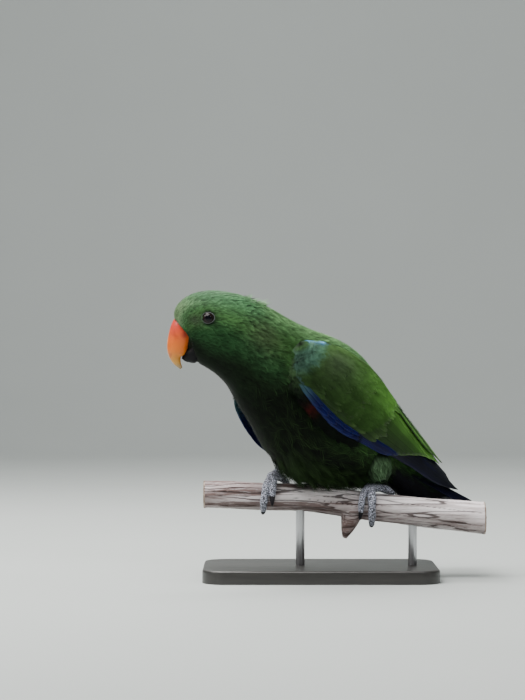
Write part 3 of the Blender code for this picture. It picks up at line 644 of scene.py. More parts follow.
def skinMaterial():
    net = Net("skin", Specular_IOR_Level=0.2)
    net.set("Base Color", net.shade(net.attribute("tint", 0), 0.25 + 0.3 * net.grain(net.place(), 300)))
    net.set("Roughness", 0.8)
    net.bump(net.grain(net.place(), 900), 0.3, 0.0004)
    return net.material


skinFinish = skinMaterial()
bodyFeather = featherMaterial("body_feather", 0.5, 0.16, 1.45, 0.7)
headFeather = featherMaterial("head_feather", 0.42, 0.34, 1.3, 0.46)
covertFeather = featherMaterial("covert_feather", 0.5, 0.62, 1.15, 0.38)
print("materials ready")


# Skin: body, rump and thighs in one surface, deeper than the coat
skinSet = {"voxel": 1.5, "depth": 2.6, "faceDepth": 1.1, "snout": 2.4, "rump": -2.4, "thigh": -2.2}


def billLine(z):
    # x of the feathers' edge on the bill at height z
    return np.interp(z, (197, 203, 217.6, 234, 240), (-109.5, -112.5, -116.2, -130.6, -131.6))


def makeSkin():
    bm = bmesh.new()
    k = skinSet

    def bodyPlace(u, turn):
        t = 13.3 * u
        depth = k["faceDepth"] + (k["depth"] - k["faceDepth"]) * soft(t, 3, 7)
        return bodySurface(t, turn, -depth - k["snout"] * (1 - soft(t, 0.3, 1.6)))

    wrap(bm, 150, 72, bodyPlace)
    wrapSurface(bm, rumpSurface, -0.5, 2.6, 30, 40, k["rump"])
    for surface in thighs.values():
        wrapSurface(bm, surface, 0, 8.6, 26, 32, k["thigh"])
    bm = remeshed(bm, k["voxel"], 4)
    for vert in bm.verts:  # drawn in under the bill
        x, y, z = vert.co
        before = float(soft(billLine(z) + 2.6 - x, 0, 3.2)) * (z > 196)
        vert.co.y = billY + (y - billY) * (1 - 0.5 * before)
    nodes = ("head", "neck", "torso", "thigh_left", "thigh_right")
    made = fromBmesh(bm, "skin", skinFinish, "green_plumage", nodes)
    points = np.empty(len(made.data.vertices) * 3, np.float32)
    made.data.vertices.foreach_get("co", points)
    addValues(made.data, "tint", bodyPaint(points.reshape(-1, 3) * 1000))


makeSkin()
print("skin ready")

# Head, neck and body coat; t and turn are the place of a fan's root on the body
eyeAt, lidReach = (-99.9, 235.2), 5.4
headSet = {
    "blades": 5,
    "rows": 2,
    "width": (0.9, 1.1, 0.9),
    "length": lambda t, turn: 2.4 + 4.2 * soft(t, 0.8, 5.5),
    "half": lambda t, turn: 0.65 + 0.45 * soft(t, 1, 5.5),
    "depth": lambda t, turn: 0.8 + 0.5 * soft(t, 1.5, 5),
    "lift": 0.26,
    "raise": 0.3,
    "swing": 0.12,
    "part": 0.16,
    "streak": (26, 1.7),
}
bodySet = {
    "blades": 9,
    "rows": 3,
    "width": (0.9, 1, 0.5),
    "length": lambda t, turn: (
        7 + 7.5 * soft(t, 5.2, 9.5) + 3 * soft(-np.sin(turn), 0.2, 1) * soft(t, 8, 11)
    ),
    "half": lambda t, turn: 1.5 + 1.3 * soft(t, 5.2, 9),
    "depth": lambda t, turn: 1.4 + 1 * soft(t, 5.5, 8.5),
    "lift": 0.45,
    "raise": 0.2,
    "swing": 0.16,
    "streak": (18, 1.5),
    "calm": lambda t, turn: 0.65 * soft(np.sin(turn), 0.2, 0.8),
    "droop": lambda t, turn: 4 * soft(-np.sin(turn), 0.5, 1) * soft(t, 8.6, 10.5),
}
wispSet = {
    "blades": 3,
    "rows": 4,
    "width": (0.55, 0.5, 0.3),
    "length": lambda t, turn: 8 + 9 * soft(t, 5.2, 9.5),
    "half": 2,
    "depth": 1,
    "lift": 1.3,
    "raise": 0.3,
    "swing": 0.4,
    "curl": 0.34,
    "droop": lambda t, turn: 4 * soft(-np.sin(turn), 0.3, 1) * soft(t, 8.6, 10.5),
}
napeSet = {
    "blades": 3,
    "rows": 3,
    "width": (0.8, 0.8, 0.4),
    "length": 7.5,
    "half": 1.2,
    "depth": 0.8,
    "lift": 3.5,
    "raise": 0.3,
    "swing": 0.45,
    "curl": 0.25,
}
ventSet = {
    "blades": 7,
    "rows": 4,
    "width": (0.9, 0.8, 0.4),
    "length": 18,
    "half": 3.4,
    "depth": 2,
    "lift": 0.8,
    "swing": 0.35,
    "droop": 11,
}


# Rows of fans: where they start and end along the body, and the gap between fans
coatRows = {
    "neck": (5.4, 8, 2.1),
    "body": (7.8, 13.2, 2.8),
    "wisps": (6.8, 13.2, 5),
    "nape": (6, 6.9, 2.2),
    "vent": (8.9, 13.4, 3.4),
}


def headKeep(roots, home):
    clear = home[:, 0] > billLine(home[:, 2]) + 0.3
    eye = np.hypot(home[:, 0] - eyeAt[0], (home[:, 2] - eyeAt[1]) * 1.08)
    return clear & ((eye > lidReach + 0.75) | (np.abs(home[:, 1] - billY) < 12))


def headLean(home, ahead):
    # feathers before the eye part round it
    away = home[:, [0, 2]] - np.array(eyeAt)
    far = np.linalg.norm(away, axis=1)
    on = np.exp(-np.maximum(far - lidReach, 0) / 3.5) * (np.abs(home[:, 1] - billY) > 10)
    push = np.stack([away[:, 0] / far, 0 * far, away[:, 1] / far], -1)
    inward = np.maximum(0, -(push * ahead).sum(1))
    return push * (1.35 * on * (0.25 + inward))[:, None]


def wispPaint(points, t, turn):
    bright = (0.35 + 0.65 * soft(t, 7, 9.5))[:, None]
    return bodyPaint(points) * 1.2 + np.array((0.012, 0.027, 0.006)) * bright


wingTree = treeOf("wing_left", "wing_right")


def clearOfWings(roots, home):
    toT, toA = metric(bodySurface, roots[:, 0], roots[:, 1])
    outward = unit(np.cross(toA, toT))
    return np.array([wingTree.ray_cast(Vector(p), Vector(o), 30)[0] is None for p, o in zip(home, outward)])


def layCoat(name, roots, options, finish=bodyFeather, paint=bodyPaint, lean=None):
    layFans(name, bodySurface, roots, options, finish, "green_plumage", paint, (0, 14), lean)


def makeCoat():
    def rootsOf(part, keep):
        start, end, gap = coatRows[part]
        return scatter(bodySurface, start, end, gap, gap, keep)

    found = scatter(bodySurface, 0.35, 5.7, lambda t: 1 + 0.17 * t, lambda t: 1 + 0.12 * t, headKeep)
    layCoat("coatHead", found, headSet, headFeather, lean=headLean)
    layCoat("coatNeck", rootsOf("neck", clearOfWings), bodySet)
    found = rootsOf("body", clearOfWings)
    breast = found[:, 0] < 9.6
    layCoat("coatBreast", found[breast], bodySet)
    layCoat("coatBelly", found[~breast], bodySet)
    found = rootsOf("wisps", clearOfWings)
    layCoat("coatWisps", found[np.sin(found[:, 1]) < 0.35], wispSet, paint=wispPaint)
    found = rootsOf("nape", lambda roots, home: np.abs(roots[:, 1] - math.pi / 2) < 0.45)
    layCoat("coatNape", found, napeSet, headFeather, lean=lambda home, ahead: 0 * home + (0, 0, 0.5))
    found = rootsOf("vent", lambda roots, home: np.sin(roots[:, 1]) < -0.80)
    layCoat("coatVent", found, ventSet, paint=wispPaint)


makeCoat()
print("coat ready")


# Wings
wingUpper = (
    (-33, 18, 214.5),
    (-16, 18, 213),
    (5.4, 15, 206.4),
    (35.1, 11, 188.5),
    (58.1, 8, 163),
    (78.7, 6, 141),
    (96.2, 4.5, 123),
    (109.9, 4, 106.5),
    (121.3, 5, 93.5),
    (130.9, 8.5, 80.5),
)
wingLower = (
    (-52.5, 33, 200),
    (-56.5, 39, 181),
    (-41.5, 43, 159.5),
    (-18.4, 43.5, 138.8),
    (3.4, 42, 127.8),
    (26.1, 37.5, 116.3),
    (49.1, 31.5, 106),
    (73.2, 27, 94.5),
    (99.8, 20.5, 83.5),
    (129.4, 12, 79),
)
wingDroop = ((-16.5, 9, -18), (-24, 11, -18), (-2, 3, -4))


def wingFace(side, u, v):
    inside = np.clip(u, 0, 1)
    upper = smoothKeys(wingUpper, u * 9)
    lower = smoothKeys(wingLower, u * 9)
    roundShare = 1 - 0.75 * np.maximum(0, inside - 0.45) / 0.55
    turn = v * math.pi / 2
    out = roundShare * np.sin(turn) + (1 - roundShare) * v
    down = roundShare * (1 - np.cos(turn)) + (1 - roundShare) * v
    found = upper + (lower - upper) * np.stack([down, out, down], -1)
    if side < 0:
        found = found + smoothKeys(wingDroop, inside * 2)
    return fromBody(found[..., 0], side * found[..., 1], found[..., 2])


def wingSlopes(side, u, v):
    step = 0.01
    toU = (wingFace(side, u + step, v) - wingFace(side, u - step, v)) / (2 * step)
    toV = (wingFace(side, u, v + step) - wingFace(side, u, v - step)) / (2 * step)
    return toU, toV, unit(np.cross(toU, toV)) * -side


# Tiers of the wing: kind of feather, how many, first and last root, first and last tip (each along
# the wing and across it), half width, height of root and tip over the wing's face
wingTiers = (
    ("primary", 10, ((0.50, 0.36), (0.42, 0.95)), ((0.89, 0.02), (0.995, 0.62)), 6.6, (-3.2, -2.4)),
    ("secondary", 13, ((0.36, 0.16), (0.34, 0.90)), ((0.80, 0.12), (0.64, 0.84)), 6.2, (-2, -0.5)),
    ("band", 5, ((0.40, 0.94), (0.38, 1.01)), ((0.635, 0.89), (0.60, 0.97)), 2.6, (-1, 0.4)),
    ("tertial", 9, ((0.20, 0.00), (0.26, 0.30)), ((0.82, 0.00), (0.72, 0.30)), 4.4, (-1.4, 1.2)),
    ("covert", 20, ((0.16, 0.03), (0.24, 0.90)), ((0.45, 0.03), (0.51, 0.91)), 4.4, (-1.2, 0)),
    ("covert", 23, ((0.13, 0.05), (0.19, 0.91)), ((0.40, 0.05), (0.44, 0.91)), 4, (-1.2, 0.2)),
    ("covert", 24, ((0.10, 0.03), (0.15, 0.91)), ((0.35, 0.03), (0.37, 0.91)), 3.7, (-1.2, 0.6)),
    ("covert", 24, ((0.08, 0.05), (0.11, 0.93)), ((0.33, 0.05), (0.29, 0.92)), 3.5, (-1.2, 0.5)),
    ("covert", 26, ((0.04, 0.03), (0.06, 0.95)), ((0.25, 0.03), (0.23, 0.94)), 3.1, (-1.2, 0.5)),
    ("covert", 28, ((0, 0.05), (0.02, 0.97)), ((0.17, 0.05), (0.16, 0.96)), 2.8, (-1.2, 0.4)),
    ("covert", 30, ((-0.012, 0.02), (-0.01, 1)), ((0.10, 0.02), (0.10, 0.99)), 2.3, (-1.4, 0.3)),
    ("edge", 6, ((0.085, 0.955), (0.25, 0.965)), ((0.24, 0.96), (0.430, 0.965)), 1.9, (-1.2, 1.9)),
    ("edge", 6, ((0.09, 0.98), (0.24, 1.01)), ((0.24, 0.99), (0.445, 1.00)), 2.8, (-1.4, 1.7)),
)
wingColours = {
    "green": (0.030, 0.075, 0.015),
    "bright": (0.048, 0.126, 0.019),
    "olive": (0.031, 0.044, 0.026),
    # rim: the yellow-green of the wing's lit upper edge, a painted highlight; also laid on feather edges
    # and tips
    "rim": (0.16, 0.31, 0.055),
    "teal": (0.044, 0.105, 0.078),
    "sky": (0.095, 0.30, 0.54),
    "start": (0.030, 0.078, 0.086),
    "navy": (0.0013, 0.0024, 0.042),
    "blue": (0.006, 0.015, 0.092),
    "black": (0.003, 0.0035, 0.007),
    "quill": (0.0055, 0.0062, 0.0125),
}


# Painted light and shade on the wing by v across it, from its upper edge to its lower one: lighter above,
# darker below
wingPaintedLight = ((0, 0.2, 0.33, 0.45, 0.55, 0.65, 0.75, 0.9), (1.45, 1.75, 2.3, 1.95, 1.45, 1, 0.7, 0.47))


# The wing's colour at u along it and v across it, by kind of feather; w is across one feather and
# t along it
def wingPaint(kind, u, v, w, t):
    c = wingColours
    # painted light and shade across the wing, milder at its front
    light = np.interp(v + 0.08 * soft(u, 0.5, 0.62), *wingPaintedLight) ** (0.6 + 0.4 * soft(u, 0.04, 0.14))
    tint = mixed(c["green"], c["bright"], soft(u, 0.22, 0.5) * (1 - soft(v, 0.35, 0.75)))
    # painted highlight: the lit rim along the wing's upper edge
    tint = mixed(tint, c["rim"], (1 - soft(v, 0, 0.16)) * soft(u, 0.05, 0.4) * 0.75)
    olive = np.exp(-(((u - 0.17) / 0.11) ** 2) - ((v - 0.50) / 0.28) ** 2)
    tint = mixed(tint, c["olive"], 0.75 * olive)
    back = 0.03 * soft(v, 0.4, 0.8)
    front = (1 - soft(u, 0.005 + back, 0.085 + back)) * soft(v, 0.05, 0.3)
    tint = mixed(tint, c["teal"], 0.85 * front)
    patch = (1 - soft(u, 0.02, 0.06)) * (1 - soft(v, 0.16, 0.34))
    tint = mixed(tint, c["sky"], patch)
    edge = soft(v, 0.935, 0.96) * (1 - soft(u, 0.43, 0.47))
    tint = mixed(tint, mixed(c["teal"], c["navy"], soft(u, 0.10, 0.18)), edge)
    tint = tint * light[..., None]
    # painted shadow: black along the shoulder's upper edge, in the gap under the back's feathers
    gap = (1 - soft(v, 0.02, 0.045)) * (1 - soft(u, 0.14, 0.26)) * soft(u, 0.01, 0.03)
    tint = mixed(tint, c["black"], gap)
    rim = soft(np.abs(w), 0.75, 1)
    if kind == "edge":
        tint = mixed(mixed(c["navy"], c["blue"], rim), c["start"], 1 - soft(u, 0.12, 0.23))
    if kind == "covert":
        tint = mixed(tint, c["rim"], 0.10 * soft(t, 0.86, 0.99) * soft(u, 0.2, 0.35))
    if kind == "primary":
        tint = mixed(c["quill"], c["navy"], 0.5 * soft(w, 0, 0.9) * (1 - soft(t, 0.6, 0.9)))
    if kind == "band":
        tint = mixed(c["navy"], c["blue"], 0.6 * rim)
    if kind == "secondary":
        tint = mixed(tint, c["navy"], soft(v + 0.55 * (u - 0.475), 0.93, 0.97) * soft(u, 0.45, 0.49))
        tint = mixed(tint, c["rim"], 0.32 * soft(w, 0.6, 0.9))
        tint = mixed(tint, c["black"], 0.65 * soft(-w, 0.7, 0.95))
    if kind == "tertial":
        tint = mixed(tint, c["rim"], 0.8 * soft(-w, 0.4, 0.9))
        tint = mixed(tint, c["black"], 0.85 * soft(w, 0.45, 0.75))
    return tint


def vaneMaterial():
    net = Net("vane_feather", Specular_IOR_Level=0.18)
    tint, along, across = net.attribute("tint", 0), net.attribute("along"), net.attribute("across")
    tone, span = net.attribute("tone"), net.attribute("span")
    slant = along * span * 1650 - across.size() * 9 + net.grain(net.place(), 90) * 6
    barbs = slant.wave() * 0.5 + 0.5
    shaft = 1 - across.size().step(0.02, 0.07)
    level = (0.78 + 0.34 * along**2) * (0.78 + 0.44 * tone) * (0.9 + 0.2 * barbs) * (1 - 0.3 * shaft)
    # painted highlight along each vane's edges
    edge = across.size().step(0.72, 1) * 0.18
    mottle = net.grain(net.place(), 90, 4)
    net.set("Base Color", net.shade(tint, level * (1 + edge) * (0.45 + 1.1 * mottle)))
    net.set("Roughness", 0.45)
    net.bump(barbs * 0.5 + shaft, 0.35, 0.0003)
    return net.material


vaneFeather = vaneMaterial()
vaneAlong, vaneAcross = np.linspace(0, 0.997, 15), np.linspace(-1, 1, 7)


def featherWidth(t):
    start = 0.55 + 0.45 * soft(t, 0, 0.3)
    return start * np.sqrt(np.maximum(0, 1 - (np.maximum(t - 0.74, 0) / 0.262) ** 2.4))


def layVanes(name, points, outward, thick, values, patch, slot, node):
    # closes each sheet of points (feathers, rows, columns) into a thin solid
    count, rows, columns = points.shape[:3]
    sheet = rows * columns
    grid = np.arange(sheet).reshape(rows, columns)
    upper = np.stack([grid[:-1, :-1], grid[:-1, 1:], grid[1:, 1:], grid[1:, :-1]], -1).reshape(-1, 4)
    rim = np.concatenate([grid[0], grid[1:, -1], grid[-1, -2::-1], grid[-2:0:-1, 0]])
    after = np.roll(rim, -1)
    wall = np.stack([rim, rim + sheet, after + sheet, after], -1)
    quads = np.concatenate([upper, upper[:, ::-1] + sheet, wall])
    faces = [((np.arange(count) * 2 * sheet)[:, None, None] + quads).reshape(-1, 4)]
    solid = np.stack([points, points - outward * thick], 1).reshape(-1, 3)
    for key, value in values.items():
        values[key] = np.stack([value, value], 1).reshape(-1, *value.shape[3:])
    patch = np.stack([patch, patch + 0.0005], 1).reshape(-1, 2)
    fromArrays(name, solid, faces, values, patch, vaneFeather, slot, (node,))


def makeWing(side, label):
    t, w = vaneAlong, vaneAcross
    tRow, tCell = t[None, :, None], np.minimum(1, 3 * t)[:, None]
    found = {key: [] for key in ("points", "out", "patch", "tint", "along", "across", "tone", "span")}
    cell = 0
    for kind, count, roots, tips, halfWidth, heights in wingTiers:
        share = np.linspace(0, 1, count)[:, None]
        root, tip = (np.array(a) * (1 - share) + np.array(b) * share for a, b in (roots, tips))
        small = kind == "covert"
        tip[:, 0] += rng.normal(0, 0.012 if small else 0.002, count)
        root[:, 1] += rng.normal(0, 0.008 if small else 0, count)
        reach = (tip - root)[:, None, :]
        centre = root[:, None, :] + reach * tRow
        u, v = centre[..., 0], centre[..., 1]
        toU, toV, outward = wingSlopes(side, u, v)
        along = unit(toU * reach[..., 0:1] + toV * reach[..., 1:2])
        across = np.cross(outward, along)
        across *= np.sign((across * toV).sum(-1, keepdims=True))
        half = halfWidth * featherWidth(t)[None, :, None] * w[None, None, :]
        half = half * (1 + 0.035 * rng.normal(0, 1, (count, len(t), 1)) * np.abs(w))
        sideways = across[:, :, None, :] * half[..., None]
        du, dv = inParameters(toU[:, :, None, :], toV[:, :, None, :], sideways)
        u, v = u[:, :, None] + du, v[:, :, None] + dv
        level = heights[0] + (heights[1] - heights[0]) * tRow
        level = level + (0.2 if small else 0.4) * w * tCell
        level = level - 0.06 * halfWidth * w**2 + 0.12 * (1 - np.minimum(1, np.abs(w) * 6))
        level = level + rng.normal(0, 0.08, (count, 1, 1)) * tRow
        out = wingSlopes(side, u, v)[2]
        found["points"].append(wingFace(side, u, v) + out * level[..., None])
        found["out"].append(out)
        found["along"].append(tRow + 0 * u)
        found["across"].append(w + 0 * u)
        found["tone"].append(rng.uniform(0, 1, (count, 1, 1)) + 0 * u)
        found["span"].append(0 * u + reach[..., 0:1])
        found["tint"].append(wingPaint(kind, u, v, w + 0 * u, tRow + 0 * u))
        if small:
            corner = np.stack([root[:, 1] * 0.9 + 0.05, root[:, 0] * 1.2 + 0.05], -1)
            spread = 0.003 * np.stack([w * 0.5 + 0 * u, tRow + 0 * u], -1)
        else:
            number = cell + np.arange(count)
            corner = np.stack([0.02 + (number % 20) * 0.048, 0.62 + (number // 20) * 0.18], -1)
            spread = np.stack([(w + 1) * 0.019 + 0 * u, tRow * 0.15 + 0 * u], -1)
            cell += count
        found["patch"].append(corner[:, None, None, :] + spread)
    found = {key: np.concatenate(rows) for key, rows in found.items()}
    points, out, patch = (found.pop(key) for key in ("points", "out", "patch"))
    layVanes("wing" + label, points, out, 0.2, found, patch, "wing_plumage", "wing_" + label.lower())


for side, label in sides:
    makeWing(side, label)


# Soft feathers on the bend of the wing, and those of the back that fall over its upper edge; t is
# ten times the place along the wing, turn the place across it
bendSet = {
    "count": 900,
    "blades": 7,
    "rows": 3,
    "width": (0.9, 1, 0.6),
    "length": 7,
    "half": 1.9,
    "depth": 1.6,
    "lift": 0.5,
    "raise": 1.1,
    "swing": 0.2,
    "streak": (9, 2.4),
}
covertSet = {
    "count": 1900,
    "blades": 9,
    "rows": 3,
    "width": (1.1, 1.2, 0.9),
    "length": lambda t, turn: 9 + 1.4 * t,
    "half": lambda t, turn: 2.6 + 0.25 * t,
    "depth": 1.5,
    "lift": 0.22,
    "raise": 0.7,
    "swing": 0.06,
    "part": 0.06,
    "streak": (24, 0.8),
}
mantleSet = {
    "count": 260,
    "blades": 9,
    "rows": 4,
    "width": (0.9, 1, 0.55),
    "length": 17,
    "half": 3.2,
    "depth": 3.5,
    "lift": 0.9,
    "raise": 1.4,
    "swing": 0.12,
    "streak": (16, 1.6),
    "calm": 0.6,
}
flankSet = {
    "count": 420,
    "blades": 7,
    "rows": 3,
    "width": (0.8, 0.8, 0.4),
    "length": 9,
    "half": 2.2,
    "depth": 2.4,
    "lift": 0.5,
    "raise": 0.2,
    "swing": 0.28,
    "streak": (40, 2),
}


def covertPaint(points, t, turn):
    # a fan takes the colour of the place where it lies, a little behind its root
    tint = wingPaint("covert", t / 10 + 0.022, np.minimum(turn, 0.86), 0 * t, 0 * t)
    return tint * (1 + 0.45 * soft(t, 2.6, 4))[:, None]


def bendPaint(points, t, turn):
    tint = mixed(greens["side"], greens["neck"], 0.6 * soft(turn, 0.2, 0.6))
    tint = tint * (0.9 - 0.2 * soft(turn, 0.7, 0.95))[:, None]
    own = np.maximum(soft(t, -0.82, -0.55), 1 - soft(turn, 0.12, 0.3))
    return mixed(tint, covertPaint(points, np.maximum(t, 0), turn), own)


def mantlePaint(points, t, turn):
    # a painted shadow: the black line in the gap where the back's feathers leave the bend of the wing
    gap = soft(turn, -0.072, -0.062) * soft(t, -0.3, 0) * (1 - soft(t, 0.3, 0.6))
    return mixed(mixed(greens["back"], greens["side"], 0.25 + 0 * t), wingColours["black"], gap)


def flankPaint(points, t, turn):
    red = np.exp(-(((t - 2) / 0.20) ** 2))
    # painted shade under the wing's lower edge: neck green darkened, fading to the belly's near-black
    tint = mixed(np.array(greens["neck"]) * 0.45, greens["belly"], soft(t, 0.3, 1.6))
    return mixed(tint, greens["red"], 0.7 * red)


def makeShoulder(side, label):
    def surface(t, turn, grow=0):
        t, turn, grow = np.broadcast_arrays(t, turn, grow)
        return wingFace(side, t / 10, turn) + wingSlopes(side, t / 10, turn)[2] * grow[..., None]

    def lay(name, t, turn, options, finish, slot, paint):
        layFans(name + label, surface, np.stack([t, turn], -1), options, finish, slot, paint, (-1, 10))

    count = bendSet["count"]
    t = rng.uniform(-0.82 if side > 0 else -0.3, 0.22, count)
    lay("bend", t, rng.uniform(0, 1.03, count), bendSet, bodyFeather, "wing_plumage", bendPaint)
    count = covertSet["count"]
    t = 4.1 * rng.uniform(0, 1, count) ** 0.8
    low = 0.98 - 0.10 * soft(t, 0.8, 1.6)
    turn = 0.04 + (low - 0.04) * rng.uniform(0, 1, count)
    lay("coverts", t, turn, covertSet, covertFeather, "wing_plumage", covertPaint)
    count = mantleSet["count"]
    t = rng.uniform(-0.7, 5.6, count)
    turn = rng.uniform(-0.12, -0.05, count) + 0.08 * soft(t, 1.3, 2.8)
    lay("mantle", t, turn, mantleSet, bodyFeather, "green_plumage", mantlePaint)
    if side > 0:
        count = flankSet["count"]
        t = rng.uniform(-0.3, 4.4, count)
        lay("flank", t, rng.uniform(1.02, 1.09, count), flankSet, bodyFeather, "green_plumage", flankPaint)


for side, label in sides:
    makeShoulder(side, label)
print("wings ready")


# Under the wing feathers, an arm of flesh
armSet = {"start": 0.02, "reach": 0.50, "half": 0.44, "sink": 4.2, "above": 1, "below": (3, 6.5)}


def makeArm(side, label):
    bm = bmesh.new()
    k = armSet

    def place(u, turn):
        uu, vv = k["start"] + k["reach"] * u, 0.5 - k["half"] * np.cos(turn)
        taper = np.maximum(0, 1 - (uu / 0.56) ** 2)
        depth = np.where(np.sin(turn) > 0, k["above"], k["below"][0] + k["below"][1] * taper)
        depth = depth * np.abs(np.sin(turn)) ** 0.7
        out = wingSlopes(side, uu, vv)[2]
        return wingFace(side, uu, vv) + out * (np.sign(np.sin(turn)) * depth)[:, None] - out * k["sink"]

    wrap(bm, 30, 28, place)
    fromBmesh(bm, "arm" + label, skinFinish, "wing_plumage")


# Tail, rump and thighs
tailSet = {
    "root": (64, 107),
    "tip": (150, 66),
    "count": 6,  # on each side
    "width": 50,
    "half": 8.2,  # half the width of one feather
    "rootIn": 6,
    "thick": 0.4,
    "step": 1.1,  # down from each feather to the next
}


def makeTail():
    k, t, w = tailSet, vaneAlong, vaneAcross
    root, tip = (fromBody(back, 0, up) for back, up in (k["root"], k["tip"]))
    along, across = unit(tip - root), unit(leftward)
    above = unit(np.cross(across, along))
    above = above * np.sign(above[2])
    full = np.linalg.norm(tip - root) + k["rootIn"]
    sheets, tones = [], []
    for number in range(k["count"]):
        for side in (1, -1):
            share = number / (k["count"] - 1)
            offset = side * (0.6 + share * (k["width"] / 2 - k["half"] - 0.6))
            ahead = full * (1 - 0.10 * share**2) * t[:, None, None] - k["rootIn"]
            out = offset * (0.15 + 0.85 * t * t)[:, None] + k["half"] * featherWidth(t)[:, None] * w
            high = 0.4 - k["step"] * number - (0.5 if side < 0 else 0)
            high = high - np.abs(out) ** 1.5 * 0.055 - 0.5 * side * w - 0.3 * w * w
            sheets.append(root + along * ahead + across * out[..., None] + above * high[..., None])
            tones.append(rng.uniform(0, 1))
    points, tones = np.array(sheets), np.array(tones)
    grid = np.zeros(points.shape[:3])
    inner = mixed(wingColours["green"], wingColours["black"], soft(t, 0.1, 0.3))
    tint = grid[..., None] + inner[None, :, None, :]
    values = {
        "tint": mixed(tint, wingColours["navy"], grid + (np.abs(w) > 0.8) * 0.35),
        "along": grid + t[None, :, None],
        "across": grid + w,
        "tone": grid + tones[:, None, None],
        "span": grid + 0.45,
    }
    corner = np.stack([0.04 + np.arange(len(points)) * 0.078, 0.05 + 0 * tones], -1)
    spread = np.stack([(grid + w + 1) * 0.03, grid + t[None, :, None] * 0.85], -1)
    patch = corner[:, None, None, :] + spread
    layVanes("tailFeathers", points, above, k["thick"], values, patch, "tail_plumage", "tail")


def rumpDroop(t):
    return 10 * soft(t, -0.8, 0) * (1 - 0.6 * soft(t, 0.8, 2))


rumpSet = {
    "blades": 7,
    "rows": 3,
    "length": 15,
    "half": 3.4,
    "depth": 2.2,
    "droop": lambda t, turn: rumpDroop(t) * soft(-np.sin(turn), 0.2, 0.8),
}
thighSet = {
    "blades": 7,
    "rows": 3,
    "length": lambda t, turn: 12 - 0.6 * t,
    "half": lambda t, turn: 1.6 - 0.06 * t,
    "depth": 2,
    "lift": 0.35,
    "swing": 0.16,
    "part": 0.1,
    "streak": (9, 0.3),
}


def rumpPaint(points, *where):
    # black below and towards the tail's end, green above: the undertail's own black, with painted shade
    # under the wing
    high = soft(points[:, 2] - 118 + 0.62 * (points[:, 0] - 60), -14, 2)
    tint = mixed(wingColours["black"], greens["side"], high)
    return mixed(tint, wingColours["black"], soft(points[:, 0], 100, 120))


def thighPaint(points, *where):
    # painted light and shade: near-black high up under the belly and at the front, lighter green low and
    # behind
    light = (1 - soft(points[:, 2], 108, 122)) * (0.25 + 0.75 * soft(points[:, 0], 38, 54))
    return mixed(greens["belly"], (0.098, 0.185, 0.090), light)


bodyTree = treeOf("torso")


def outOfBody(roots, home):
    found = []
    for p in home:
        near, normal, _, _ = bodyTree.find_nearest(Vector(p))
        found.append((Vector(p) - near).dot(normal) > -1)
    return np.array(found)


for side, label in sides:
    makeArm(side, label)
makeTail()
found = scatter(rumpSurface, -0.6, 3, 3, 2.8)
layFans("coatRump", rumpSurface, found, rumpSet, bodyFeather, "green_plumage", rumpPaint, (-1, 4))
for label, surface in thighs.items():
    found = scatter(surface, 2, 8.3, 1.9, 1.9, outOfBody)
    layFans("coatThigh" + label, surface, found, thighSet, bodyFeather, "green_plumage", thighPaint, (0, 9))
print("tail and legs ready")


# Bill
upperKeys = (
    (-126.5, 240, -111, 219, 9),
    (-131.4, 234, -114.8, 217.6, 10.6),
    (-134.6, 225.8, -116, 214.6, 10.4),
    (-136.8, 215.8, -118.2, 209.8, 9.6),
    (-137, 207.6, -120.6, 203.6, 8.2),
    (-135, 200.6, -124.6, 201, 5.8),
    (-131.4, 195, -124.8, 196.2, 3.8),
    (-126.6, 191, -123.6, 192.4, 1.7),
    (-125, 190.2, -123.9, 191.4, 0.7),
)
lowerKeys = (
    (-112, 216, -104, 206, 7.6),
    (-116.6, 211, -107.6, 199.6, 8.2),
    (-120.8, 206.6, -112.4, 195.8, 7.2),
    (-123.4, 202, -118.4, 196.4, 4.4),
    (-124.2, 199.8, -120.6, 197, 2),
)

def billSurface(keys):
    def surface(t, turn, grow=0):
        topX, topZ, lowX, lowZ, half = np.moveaxis(smoothKeys(keys, t), -1, 0)
        top = np.stack([topX, billY + 0 * t, topZ], -1)
        low = np.stack([lowX, billY + 0 * t, lowZ], -1)
        return ovalPoint(top, low, half, np.array((0, -1, 0)), turn, grow, 0.85)

    return surface


def billMaterial():
    # places are in metres: down runs from the bill's root to its tip
    net = Net("upper_bill", Coat_Weight=0.12, Coat_Roughness=0.2, Specular_IOR_Level=0.3)
    place = net.place()
    x, y, z = (net.axis(place, k) for k in range(3))
    down = (0.232 - z) / 0.040
    culmen = x + 0.1335 + (z - 0.2258).size() * -0.09
    ridge = (1 - culmen.step(-0.0030, -0.0010)) * (1 - (y - billY * 0.001).size().step(0.0016, 0.0046))
    spot = 1 - (((x + 0.1215) ** 2 + (z - 0.2205) ** 2) ** 0.5).step(0.0006, 0.0046)
    smudge = net.grain(place, 160, 3)
    colour = net.layers(
        (0.58, 0.050, 0.035),
        (down.step(0, 0.62), (0.72, 0.155, 0.012)),
        (down.step(0.55, 0.95), (0.58, 0.29, 0.05)),
        (down.step(0.88, 1.02), (0.30, 0.22, 0.12)),
        (ridge * (1 - down.step(0.6, 0.9)) * 0.75, (0.86, 0.50, 0.27)),
        (spot * 0.55, (0.30, 0.012, 0.010)),
        (smudge.step(0.52, 0.75) * 0.4, (0.36, 0.022, 0.014)),
    )
    net.set("Base Color", colour)
    lines = net.grain(net.stretch(place, (1, 1, 3)), 420, 4)
    net.set("Roughness", 0.28 + 0.16 * lines)
    net.bump(lines, 0.25, 0.0003)
    return net.material


def grainedMaterial(name, colours, stretch, fineness, roughness, bump, **constants):
    # two colours mixed by a fine grain, which also varies the gloss
    net = Net(name, **constants)
    grain = net.grain(net.stretch(net.place(), stretch), *fineness)
    net.set("Base Color", net.mix(grain, *colours))
    net.set("Roughness", roughness[0] + roughness[1] * grain)
    net.bump(grain, *bump)
    return net.material


